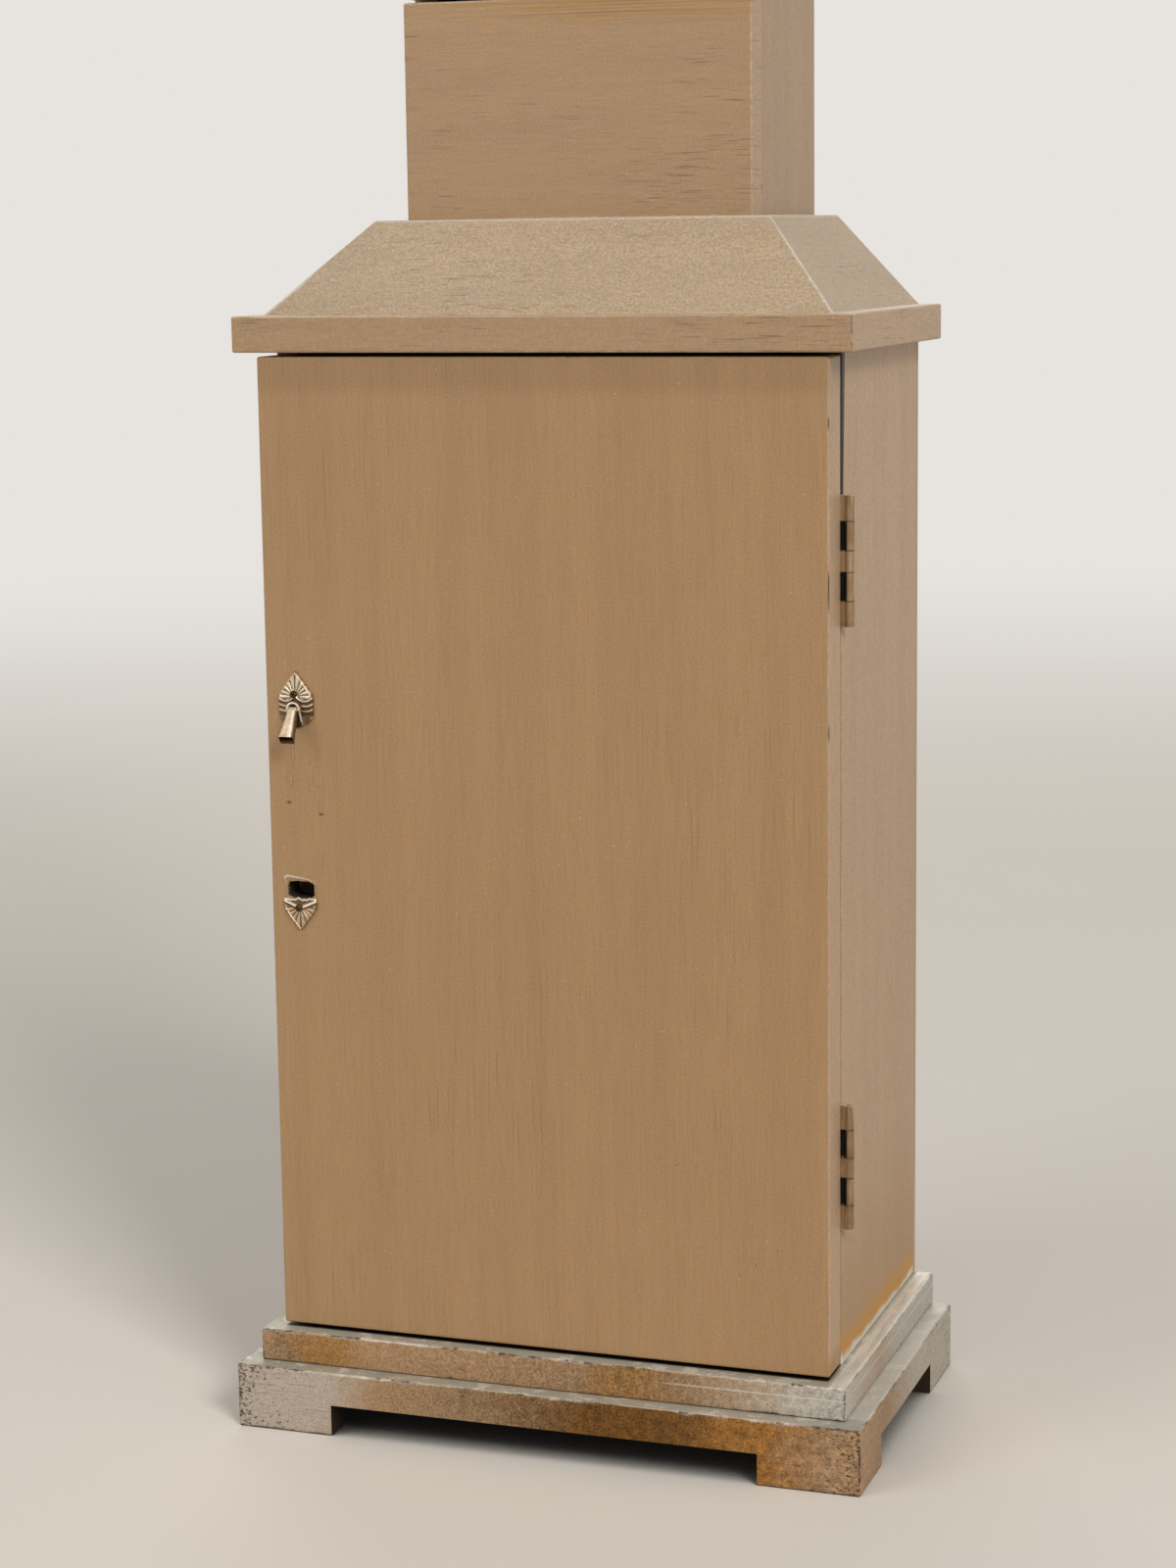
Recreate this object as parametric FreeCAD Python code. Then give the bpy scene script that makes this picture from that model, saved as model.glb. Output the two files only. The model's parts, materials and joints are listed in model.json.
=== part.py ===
import FreeCAD, Part
import math
import os

# Longcase clock in painted wood, in mm. X runs to the viewer's right, Y to the back, Z up.
# The origin lies on the floor under the middle of the plinth.

# Plinth
DEPTH = 200.0
DOOR_W = 294.0
PLINTH_SIDE = 20.0
PLINTH_FRONT = 17.5
PLINTH_H = 34.0
BRACKET_T = 15.0
FOOT_FRONT = 52.5
FOOT_SIDE_FRONT = 43.5
FOOT_SIDE_REAR = 49.0
NOTCH_H = 16.5
STEP_SIDE = 10.0
STEP_FRONT = 8.0
STEP_H = 17.0

# Base cupboard
CARCASS_H = 505.0
SIDE_T = 12.0
BACK_T = 6.0
DOOR_T = 22.0
DOOR_GAP = 2.4
EDGE_GAP = 2.0
EAVE_SIDE = 12.0
EAVE_FRONT = 3.0
EAVE_T = 18.0
ARRIS = 1.2

# Hipped skirt
SKIRT_H = 46.0
SKIRT_INSET = 12.2
SKIRT_T = 16.0
CAP_T = 12.0
LEDGE = 12.3

# Trunk
TRUNK_W = 182.0
TRUNK_SETBACK = 66.2
TRUNK_H = 800.0
TRUNK_SIDE_T = 12.0
TRUNK_DOOR_T = 14.0
BOTTOM_RAIL_H = 107.5
TOP_RAIL_H = 88.0
BACKBOARD_T = 8.0
THROAT_H = 46.0
CATCH_UP = 420.0
CATCH_IN = 23.0
CATCH_REACH = 16.0
CATCH_CLEAR = 1.0
CATCH_KNOB_R = 10.0
CATCH_KNOB_L = 14.0
CATCH_KNOB_ROUND = 2.5
CATCH_SPINDLE_R = 2.4
CATCH_TONGUE_W = 6.0
CATCH_TONGUE_T = 3.0
CATCH_TONGUE_IN = 6.0

# Hood
HOOD_H = 286.0
HOOD_BOARD_T = 18.0
HOOD_CLEAR = 1.0
HOOD_DOOR_T = 18.0
STILE_W = 34.0
GLASS_T = 3.0
GLASS_REBATE = 5.0
GLASS_SET = 6.0
ROOF_H = 46.0
HOOD_KNOB_R = 6.0
HOOD_KNOB_L = 12.0
HOOD_KNOB_ROUND = 3.0

# Butt hinges
HINGE_KNUCKLES = (12.5, 14.0, 10.5, 14.0, 12.5)
HINGE_OUT = 3.9
KNUCKLE_R = 2.5
PIN_R = 1.2
PIN_FIT = 0.05
LEAF_W = 10.0
LEAF_T = 1.5
LEAF_CLEAR = 0.3
BASE_HINGE_UP = 103.8
BASE_HINGE_DOWN = 100.3
HINGE_FROM_END = 70.0
SCREW_R = 1.3
SCREW_L = 12.0
HEAD_R = 2.25
HEAD_H = 0.8
SCREW_FIT = 0.1
SCREW_SPREAD = 22.0
SCREW_IN = 4.0

# Drop pull and broken escutcheon on the base door
PULL_IN = 16.7
PULL_UP = 331.3
PULL_W = 18.4
PULL_H = 28.7
PULL_T = 2.2
PULL_BOSS_R = 4.6
PULL_BOSS_T = 0.6
PIVOT_OUT = 4.7
PIVOT_DOWN = 4.4
PIVOT_R = 0.8
EAR_T = 1.2
EAR_R = 1.7
EYE_R = 1.6
EYE_W = 5.0
DROP_LEAN = 32.0
DROP_L = 15.8
DROP_TOP_W = 4.4
DROP_TOP_T = 2.6
DROP_END_W = 8.0
DROP_END_T = 4.6
STOP_GAP = 0.25
ESCUTCHEON_IN = 16.2
ESCUTCHEON_UP = 228.7
ESCUTCHEON_W = 18.0
ESCUTCHEON_H = 16.1
ESCUTCHEON_T = 1.8
HOLE_W = 15.5
HOLE_H = 9.4

# Lock behind the hole
LOCK_W = 34.0
LOCK_H = 42.0
LOCK_T = 12.0
LOCK_CLEAR = 1.0
BOLT_L = 22.0
BOLT_H = 9.6
BOLT_T = 4.8
BOLT_THROW = 6.0
BOLT_IN = 5.0
STRIKE_CLEAR = 0.6
SLIDE_FIT = 0.2
KEYHOLE_R = 2.6

# Movement
PLATE_W = 104.0
PLATE_DOWN = 83.0
PLATE_UP = 84.0
PLATE_T = 3.0
PLATE_SPACE = 44.0
PILLAR_R = 4.0
PILLAR_IN = 9.0
SEAT_T = 14.0
SEAT_LIP = 7.9
SEAT_SLOT_W = 50.0
SEAT_SLOT_D = 16.0
CENTRE_ARBOR_R = 2.2
TRAIN_ARBOR_R = 1.7
PIVOT_FIT = 0.06
TRAIN_PIVOT_R = 1.2
END_SHAKE = 0.3
WHEEL_T = 2.0
PINION_T = 7.0
HUB_R = 5.0
SPOKE_W = 3.0
RIM_T = 3.0
PRESSURE_ANGLE = math.radians(30.0)
ADDENDUM = 0.8
DEDENDUM = 1.05
BACKLASH = 0.2
GREAT_TEETH, GREAT_MODULE = 64, 1.0
CENTRE_TEETH, CENTRE_MODULE = 64, 0.8
THIRD_TEETH, THIRD_MODULE = 80, 0.6
PINION_TEETH = 8
ESCAPE_RISE = 46.0
ESCAPE_TEETH = 30
ESCAPE_R = 18.0
ESCAPE_DEPTH = 2.8
PALLET_RISE = 71.0
PALLET_CLEAR = 1.2
PALLET_SPREAD = math.radians(50.0)
DRUM_R = 27.0
DRUM_WALL = 2.0
DRUM_L = 26.0
CORE_R = 8.0
WINDING_R = 4.4
WINDING_PIVOT_R = 3.3
SPRING_TURNS = 8
SPRING_PITCH = 1.9
SPRING_T = 0.7
RATCHET_R = 12.0
RATCHET_TEETH = 20
RATCHET_DEPTH = 2.0
SQUARE = 4.4
SQUARE_OUT = 2.5
CANNON_TEETH, CANNON_MODULE = 16, 0.75
MINUTE_TEETH = 48
HOUR_TEETH, HOUR_MODULE = 48, 0.8
MINUTE_PINION_TEETH = 12
CANNON_PIPE_R = 3.6
HOUR_PIPE_R = 5.2
PIPE_CLEAR = 0.3
MOTION_GAP = 2.0

# Dial and hands
DIAL_W = 236.0
DIAL_T = 2.0
DIAL_OUT = 26.0
DIAL_FOOT_R = 2.5
CENTRE_HOLE_R = 6.0
WINDING_HOLE_R = 5.0
HAND_T = 1.2
HAND_STEP = 3.5
HOUR_HAND_L = 62.0
MINUTE_HAND_L = 92.0
HAND_BOSS_R = 7.0
HOUR_ANGLE = math.radians(305.0)
MINUTE_ANGLE = math.radians(60.0)

# Pendulum and its suspension
PENDULUM_BACK = 18.0
PENDULUM_OUT = 5.0
PENDULUM_L = 559.0
ROD_R = 2.5
ROD_FIT = 0.2
TAIL = 62.0
BOB_R = 45.0
BOB_T = 22.0
BOB_RIM = 4.0
NUT_R = 7.0
NUT_H = 6.0
NUT_GAP = 0.3
SUSPENSION_T = 0.3
SUSPENSION_W = 7.0
SUSPENSION_UP = 15.0
SUSPENSION_DOWN = 13.0
TOP_BLOCK_W = 8.0
TOP_BLOCK_H = 18.0
TOP_BLOCK_DROP = 7.0
BLOCK_SLOT = 1.7
COCK_W = 48.0
COCK_FOOT_W = 10.0
COCK_H = 15.0
COCK_OUT = 8.0
COCK_T = 3.0
CRUTCH_L = 80.0
CRUTCH_W = 3.0
CRUTCH_T = 2.0
FORK_R = 1.0
FORK_GAP = 0.6

# Planes and levels worked out from the sizes above
Y_FRONT = -DEPTH / 2
Y_REAR = DEPTH / 2
Y_DOOR = Y_FRONT + PLINTH_FRONT
Y_DOOR_BACK = Y_DOOR + DOOR_T
Y_CASE = Y_DOOR_BACK + DOOR_GAP
Y_EAVE = Y_DOOR - EAVE_FRONT
Y_TRUNK = Y_DOOR + TRUNK_SETBACK
Y_TRUNK_DOOR_BACK = Y_TRUNK + TRUNK_DOOR_T
Y_TRUNK_CASE = Y_TRUNK_DOOR_BACK + DOOR_GAP
Y_HOOD_DOOR = Y_DOOR_BACK - HOOD_DOOR_T
Y_BACKBOARD = Y_REAR - BACKBOARD_T
X_SIDE = DOOR_W / 2
X_EAVE = X_SIDE + EAVE_SIDE
X_TRUNK = TRUNK_W / 2
PULL_X = PULL_IN - X_SIDE
ESCUTCHEON_X = ESCUTCHEON_IN - X_SIDE
Z_STEP = PLINTH_H
Z_CARCASS = Z_STEP + STEP_H
Z_EAVE = Z_CARCASS + CARCASS_H
Z_SKIRT = Z_EAVE + EAVE_T
Z_TRUNK = Z_SKIRT + SKIRT_H
Z_HOOD = Z_TRUNK + TRUNK_H
Z_HOOD_SIDE = Z_HOOD + HOOD_BOARD_T
Z_CORNICE = Z_HOOD_SIDE + HOOD_H
Z_ROOF = Z_CORNICE + HOOD_BOARD_T
Z_DIAL = Z_HOOD_SIDE + HOOD_H / 2
Z_SEAT = Z_DIAL - PLATE_DOWN - SEAT_T
Z_PALLET = Z_DIAL + PALLET_RISE
PULL_Z = Z_CARCASS + PULL_UP
ESCUTCHEON_Z = Z_CARCASS + ESCUTCHEON_UP
CATCH_Z = Z_TRUNK + CATCH_UP
PENDULUM_Y = Y_BACKBOARD - PENDULUM_BACK
Y_PLATE_BACK = PENDULUM_Y - PENDULUM_OUT - COCK_T - COCK_OUT - PLATE_T
PLATE_Y = Y_PLATE_BACK - PLATE_SPACE - PLATE_T
Y_TRAIN = PLATE_Y + PLATE_T
SKIRT_BOTTOM_X = X_EAVE - SKIRT_INSET
SKIRT_BOTTOM_Y = Y_EAVE + SKIRT_INSET
SKIRT_TOP_X = X_TRUNK + LEDGE
SKIRT_TOP_Y = Y_TRUNK - LEDGE
X_AXIS = FreeCAD.Vector(1, 0, 0)
Y_AXIS = FreeCAD.Vector(0, 1, 0)
Z_AXIS = FreeCAD.Vector(0, 0, 1)

nodes = {}


def vec(x, y, z):
    return FreeCAD.Vector(x, y, z)


def box(x0, x1, y0, y1, z0, z1):
    return Part.makeBox(x1 - x0, y1 - y0, z1 - z0, vec(x0, y0, z0))


def board(x0, x1, y0, y1, z0, z1, *butts):
    """A board with softened arrises, left square round the faces that butt on another board."""
    plain = box(x0, x1, y0, y1, z0, z1)
    square = []
    for face in plain.Faces:
        if any(face.normalAt(0, 0).isEqual(way, 1e-6) for way in butts):
            square += face.Edges
    soft = [edge for edge in plain.Edges if not any(edge.isSame(other) for other in square)]
    return plain.makeFillet(ARRIS, soft)


def rod(radius, x, z, y0, y1):
    """A round bar along Y."""
    return Part.makeCylinder(radius, y1 - y0, vec(x, y0, z), Y_AXIS)


def prism(points, y0, y1):
    """An outline of (x, z) points carried from y0 to y1."""
    corners = [vec(x, y0, z) for x, z in points]
    face = Part.Face(Part.makePolygon(corners + corners[:1]))
    return face.extrude(vec(0, y1 - y0, 0))


def mirrored(points):
    """Half an outline, from top to bottom on the right, closed by its mirror image."""
    left = [(-x, z) for x, z in reversed(points) if x]
    return points + left


def hexahedron(bottom, top):
    """A solid between two four-cornered faces whose corners run the same way round."""
    sides = [(bottom[i], bottom[i - 1], top[i - 1], top[i]) for i in range(4)]
    faces = []
    for corners in [bottom, top] + sides:
        faces.append(Part.Face(Part.makePolygon(list(corners) + [corners[0]])))
    solid = Part.Solid(Part.Shell(faces))
    solid.fix(1e-6, 1e-6, 1e-6)
    return solid


def flipped(shape):
    """The same shape on the other side of the clock's middle plane."""
    return shape.mirror(vec(0, 0, 0), X_AXIS)


def build_plinth():
    width = X_SIDE + PLINTH_SIDE
    y_inner = Y_FRONT + BRACKET_T
    front = board(-width, width, Y_FRONT, y_inner, 0, PLINTH_H, Y_AXIS)
    notch = box(FOOT_FRONT - width, width - FOOT_FRONT, Y_FRONT, y_inner, 0, NOTCH_H)
    nodes["plinth_front"] = front.cut(notch)
    right = board(width - BRACKET_T, width, y_inner, Y_REAR, 0, PLINTH_H, -Y_AXIS)
    y_notch = Y_FRONT + FOOT_SIDE_FRONT
    right = right.cut(box(width - BRACKET_T, width, y_notch, Y_REAR - FOOT_SIDE_REAR, 0, NOTCH_H))
    nodes["plinth_right"] = right
    nodes["plinth_left"] = flipped(right)
    step = X_SIDE + STEP_SIDE
    nodes["plinth_step"] = board(-step, step, Y_DOOR - STEP_FRONT, Y_REAR, Z_STEP, Z_CARCASS)


def knuckle(x, y, z0, z1, radius):
    return Part.makeCylinder(radius, z1 - z0, vec(x, y, z0), Z_AXIS)


def hinge(x_side, y_door_back, z_mid):
    """One butt hinge: its two leaves, its pin, its screws and the seats to cut in the wood."""
    x = x_side + HINGE_OUT
    y = y_door_back + DOOR_GAP / 2
    length = sum(HINGE_KNUCKLES)
    z_low = z_mid - length / 2
    z_high = z_mid + length / 2
    inner = x_side - LEAF_W
    half = LEAF_CLEAR / 2
    faces = {"door": (y - half - LEAF_T, y - half), "case": (y + half, y + half + LEAF_T)}
    leaves = {name: box(inner, x, *span, z_low, z_high) for name, span in faces.items()}
    level = z_high
    for index, height in enumerate(HINGE_KNUCKLES):
        owner, other = ("door", "case") if index % 2 == 0 else ("case", "door")
        leaves[owner] = leaves[owner].fuse(knuckle(x, y, level - height, level, KNUCKLE_R))
        gap = PIN_FIT if 0 < index < len(HINGE_KNUCKLES) - 1 else 0
        low, high = level - height - gap, level + gap
        space = knuckle(x, y, low, high, KNUCKLE_R + LEAF_CLEAR)
        notch = box(x_side, x, *faces[other], low, high)
        leaves[other] = leaves[other].cut(space.fuse(notch))
        level -= height
    bore = knuckle(x, y, z_low, z_high, PIN_R + PIN_FIT)
    result = {"pin": knuckle(x, y, z_low, z_high, PIN_R)}
    for name, (y0, y1) in faces.items():
        inwards = -1 if name == "door" else 1
        face = y1 if name == "door" else y0
        leaf = leaves[name].cut(bore)
        seat = box(inner, x, y0, y1, z_low, z_high)
        screws = []
        for step in (-SCREW_SPREAD, 0, SCREW_SPREAD):
            place = vec(inner + SCREW_IN, face, z_mid + step)
            along = vec(0, inwards, 0)
            head = Part.makeCylinder(HEAD_R, HEAD_H, place, along)
            shank = Part.makeCylinder(SCREW_R, SCREW_L, place, along)
            screws.append(head.fuse(shank).removeSplitter())
            shaft = Part.makeCylinder(SCREW_R + SCREW_FIT, SCREW_L, place, along)
            hole = shaft.fuse(Part.makeCylinder(HEAD_R + SCREW_FIT, HEAD_H, place, along))
            leaf = leaf.cut(hole)
            seat = seat.fuse(shaft)
        result[name] = leaf.removeSplitter()
        result[name + "_seat"] = seat
        result[name + "_screws"] = screws
    return result


def build_base(hinges):
    right = board(X_SIDE - SIDE_T, X_SIDE, Y_CASE, Y_REAR - BACK_T, Z_CARCASS, Z_EAVE, Y_AXIS)
    left = flipped(right)
    for one in hinges:
        right = right.cut(one["case_seat"])
    x_wall = SIDE_T - X_SIDE
    y_bolt = Y_DOOR_BACK + BOLT_IN
    x_strike = x_wall + LOCK_CLEAR - BOLT_THROW - STRIKE_CLEAR
    pocket = box(x_strike, x_wall, y_bolt - STRIKE_CLEAR, y_bolt + BOLT_T + STRIKE_CLEAR,
                 *bolt_span(STRIKE_CLEAR))
    nodes["base_left_side"] = left.cut(pocket)
    nodes["base_right_side"] = right
    nodes["base_back_panel"] = board(-X_SIDE, X_SIDE, Y_REAR - BACK_T, Y_REAR, Z_CARCASS, Z_EAVE, -Y_AXIS)
    nodes["eave_board"] = board(-X_EAVE, X_EAVE, Y_EAVE, Y_REAR, Z_EAVE, Z_SKIRT)


def hip_ring(x, y, inset, z):
    """Corners, from left to right, of a board's outer and inner edge at one level."""
    outer = [vec(-x, y, z), vec(x, y, z)]
    inner = [vec(inset - x, y + inset, z), vec(x - inset, y + inset, z)]
    return outer, inner


def build_skirt():
    low_out, low_in = hip_ring(SKIRT_BOTTOM_X, SKIRT_BOTTOM_Y, SKIRT_T, Z_SKIRT)
    high_out, high_in = hip_ring(SKIRT_TOP_X, SKIRT_TOP_Y, SKIRT_T, Z_TRUNK)
    nodes["skirt_front"] = hexahedron([low_out[0], low_out[1], low_in[1], low_in[0]],
                                      [high_out[0], high_out[1], high_in[1], high_in[0]])
    right = []
    for out, inn in ((low_out, low_in), (high_out, high_in)):
        back_out = vec(out[1].x, Y_REAR, out[1].z)
        back_in = vec(inn[1].x, Y_REAR, inn[1].z)
        right.append([out[1], back_out, back_in, inn[1]])
    nodes["skirt_right"] = hexahedron(*right)
    nodes["skirt_left"] = flipped(nodes["skirt_right"])
    cap = box(-SKIRT_BOTTOM_X, SKIRT_BOTTOM_X, SKIRT_BOTTOM_Y, Y_BACKBOARD, Z_TRUNK - CAP_T, Z_TRUNK)
    low = [vec(low_in[0].x, low_in[0].y, Z_SKIRT), vec(low_in[1].x, low_in[1].y, Z_SKIRT),
           vec(low_in[1].x, Y_REAR, Z_SKIRT), vec(low_in[0].x, Y_REAR, Z_SKIRT)]
    high = [vec(high_in[0].x, high_in[0].y, Z_TRUNK), vec(high_in[1].x, high_in[1].y, Z_TRUNK),
            vec(high_in[1].x, Y_REAR, Z_TRUNK), vec(high_in[0].x, Y_REAR, Z_TRUNK)]
    nodes["skirt_cap"] = cap.common(hexahedron(low, high))


def bolt_span(clear):
    middle = ESCUTCHEON_Z + HOLE_H / 2
    return middle - BOLT_H / 2 - clear, middle + BOLT_H / 2 + clear


def build_base_door(hinges):
    z_low = Z_CARCASS + EDGE_GAP
    door = board(-X_SIDE, X_SIDE, Y_DOOR, Y_DOOR_BACK, z_low, Z_EAVE - EDGE_GAP)
    for one in hinges:
        door = door.cut(one["door_seat"])
    x_hole = ESCUTCHEON_X - HOLE_W / 2
    hole = box(x_hole, x_hole + HOLE_W, Y_DOOR, Y_DOOR_BACK, ESCUTCHEON_Z, ESCUTCHEON_Z + HOLE_H)
    nodes["base_door"] = door.cut(hole)
    nodes["base_door_hinge_leaves"] = Part.makeCompound([one["door"] for one in hinges])
    screws = [screw for one in hinges for screw in one["door_screws"]]
    nodes["base_door_hinge_screws"] = Part.makeCompound(screws)
    half = ESCUTCHEON_W / 2
    outline = [(half, 0), (half, -ESCUTCHEON_H / 4), (half * 0.55, -ESCUTCHEON_H * 0.62), (0, -ESCUTCHEON_H)]
    points = [(x + ESCUTCHEON_X, z + ESCUTCHEON_Z) for x, z in mirrored(outline)]
    nodes["base_escutcheon"] = prism(points, Y_DOOR - ESCUTCHEON_T, Y_DOOR)
    x_lock = SIDE_T - X_SIDE + LOCK_CLEAR
    z_lock = ESCUTCHEON_Z + HOLE_H / 2
    case = box(x_lock, x_lock + LOCK_W, Y_DOOR_BACK, Y_DOOR_BACK + LOCK_T,
               z_lock - LOCK_H / 2, z_lock + LOCK_H / 2)
    y_bolt = Y_DOOR_BACK + BOLT_IN
    room = box(x_lock, x_lock + BOLT_L + BOLT_THROW, y_bolt - SLIDE_FIT, y_bolt + BOLT_T + SLIDE_FIT,
               *bolt_span(SLIDE_FIT))
    keyhole = rod(KEYHOLE_R, x_lock + LOCK_W / 4, z_lock, Y_DOOR_BACK, y_bolt)
    nodes["base_lock_case"] = case.cut(room).cut(keyhole)
    nodes["base_lock_bolt"] = box(x_lock, x_lock + BOLT_L, y_bolt, y_bolt + BOLT_T, *bolt_span(0))


def build_pull():
    half_w = PULL_W / 2
    half_h = PULL_H / 2
    outline = [(0, half_h), (half_w * 0.65, half_h * 0.5), (half_w, half_h * 0.2), (half_w, -half_h * 0.62),
               (half_w * 0.75, -half_h * 0.8), (0, -half_h)]
    points = [(x + PULL_X, z + PULL_Z) for x, z in mirrored(outline)]
    y_plate = Y_DOOR - PULL_T
    y_pivot = Y_DOOR - PIVOT_OUT
    z_pivot = PULL_Z - PIVOT_DOWN
    boss = rod(PULL_BOSS_R, PULL_X, z_pivot, y_plate - PULL_BOSS_T, y_plate)
    plate = prism(points, y_plate, Y_DOOR).fuse(boss)
    eye_side = EYE_W / 2 + SLIDE_FIT
    pin_end = eye_side + EAR_T
    for side in (-1, 1):
        x = PULL_X + side * eye_side
        x0, x1 = sorted((x, x + side * EAR_T))
        tip = Part.makeCylinder(EAR_R, EAR_T, vec(x0, y_pivot, z_pivot), X_AXIS)
        plate = plate.fuse(tip).fuse(box(x0, x1, y_pivot, y_plate, z_pivot - EAR_R, z_pivot + EAR_R))
    across = vec(PULL_X - pin_end, y_pivot, z_pivot)
    nodes["base_pull_plate"] = plate.cut(Part.makeCylinder(PIVOT_R + PIN_FIT, 2 * pin_end, across, X_AXIS))
    bar = hexahedron(*[[vec(PULL_X + sx * w / 2, y_pivot + sy * t / 2, z_pivot - down)
                        for sx, sy in ((-1, -1), (1, -1), (1, 1), (-1, 1))]
                       for w, t, down in ((DROP_END_W, DROP_END_T, DROP_L), (DROP_TOP_W, DROP_TOP_T, 0))])
    bar.rotate(vec(PULL_X, y_pivot, z_pivot), X_AXIS, -DROP_LEAN)
    eye = Part.makeCylinder(EYE_R, EYE_W, vec(PULL_X - EYE_W / 2, y_pivot, z_pivot), X_AXIS)
    heel = box(PULL_X - DROP_TOP_W / 2, PULL_X + DROP_TOP_W / 2, y_pivot - EYE_R,
               y_plate - PULL_BOSS_T - STOP_GAP, z_pivot - PULL_BOSS_R, z_pivot - EYE_R)
    drop = bar.fuse(eye).fuse(Part.makeCylinder(PIVOT_R, 2 * pin_end, across, X_AXIS)).fuse(heel)
    nodes["base_pull_drop"] = drop.removeSplitter()


def build_trunk(hinges):
    inner = X_TRUNK - TRUNK_SIDE_T
    right = box(inner, X_TRUNK, Y_TRUNK_CASE, Y_REAR, Z_TRUNK, Z_SEAT)
    left = flipped(right)
    for one in hinges:
        right = right.cut(one["case_seat"])
    x_catch = CATCH_IN - X_TRUNK
    y_tongue = Y_TRUNK_CASE + CATCH_TONGUE_IN
    half = CATCH_TONGUE_W / 2
    reach = CATCH_REACH + CATCH_CLEAR
    slot = box(x_catch - reach, -inner, y_tongue - CATCH_CLEAR, y_tongue + CATCH_TONGUE_T + CATCH_CLEAR,
               CATCH_Z - half - CATCH_CLEAR, CATCH_Z + reach)
    nodes["trunk_left_side"] = left.cut(slot)
    nodes["trunk_right_side"] = right
    z_door = Z_TRUNK + BOTTOM_RAIL_H
    z_top = Z_HOOD - TOP_RAIL_H
    rail = board(-X_TRUNK, X_TRUNK, Y_TRUNK, Y_TRUNK_CASE, Z_TRUNK, z_door, Y_AXIS, -Z_AXIS)
    nodes["trunk_bottom_rail"] = rail
    nodes["trunk_top_rail"] = box(-X_TRUNK, X_TRUNK, Y_TRUNK, Y_TRUNK_CASE, z_top, Z_HOOD)
    door = board(-X_TRUNK, X_TRUNK, Y_TRUNK, Y_TRUNK_DOOR_BACK, z_door + EDGE_GAP, z_top - EDGE_GAP)
    for one in hinges:
        door = door.cut(one["door_seat"])
    bore = rod(CATCH_SPINDLE_R + PIVOT_FIT, x_catch, CATCH_Z, Y_TRUNK, Y_TRUNK_DOOR_BACK)
    nodes["trunk_door"] = door.cut(bore)
    nodes["trunk_door_hinges"] = Part.makeCompound([piece for one in hinges
                                                    for piece in [one["door"]] + one["door_screws"]])
    y_knob = Y_TRUNK - END_SHAKE
    knob = rod(CATCH_KNOB_R, x_catch, CATCH_Z, y_knob - CATCH_KNOB_L, y_knob)
    knob = knob.makeFillet(CATCH_KNOB_ROUND, knob.Edges)
    stem = rod(CATCH_SPINDLE_R, x_catch, CATCH_Z, y_knob - CATCH_KNOB_L / 2, y_tongue + CATCH_TONGUE_T)
    tongue = box(x_catch - half, x_catch + half, y_tongue, y_tongue + CATCH_TONGUE_T,
                 CATCH_Z - half, CATCH_Z + math.sqrt(CATCH_REACH ** 2 - half ** 2))
    nodes["trunk_turn_catch"] = knob.fuse(stem).fuse(tongue).removeSplitter()


def build_backboard():
    inner = X_TRUNK - TRUNK_SIDE_T
    ear = X_SIDE - SIDE_T - HOOD_CLEAR
    half = [(ear, Z_CORNICE - HOOD_CLEAR), (ear, Z_SEAT + HOOD_CLEAR), (inner, Z_SEAT + HOOD_CLEAR),
            (inner, Z_TRUNK), (SKIRT_TOP_X - SKIRT_T, Z_TRUNK), (SKIRT_BOTTOM_X - SKIRT_T, Z_SKIRT)]
    nodes["backboard"] = prism(mirrored(half), Y_BACKBOARD, Y_REAR)


def build_throat():
    """Mitred moulding that flares from the trunk up to the hood."""
    run = SKIRT_BOTTOM_X - SKIRT_TOP_X
    z_low = Z_HOOD - THROAT_H
    rings = []
    for out, z in ((LEDGE, z_low), (LEDGE + run, Z_HOOD)):
        rings.append([vec(-X_TRUNK - out, Y_TRUNK - out, z), vec(X_TRUNK + out, Y_TRUNK - out, z),
                      vec(X_TRUNK, Y_TRUNK, z), vec(-X_TRUNK, Y_TRUNK, z)])
    front = hexahedron(*rings)
    sides = []
    for ring in rings:
        out, inn = ring[1], ring[2]
        sides.append([out, vec(out.x, Y_REAR, out.z), vec(inn.x, Y_REAR, inn.z), inn])
    right = hexahedron(*sides)
    nodes["throat_moulding"] = Part.makeCompound([front, right, flipped(right)])


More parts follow.
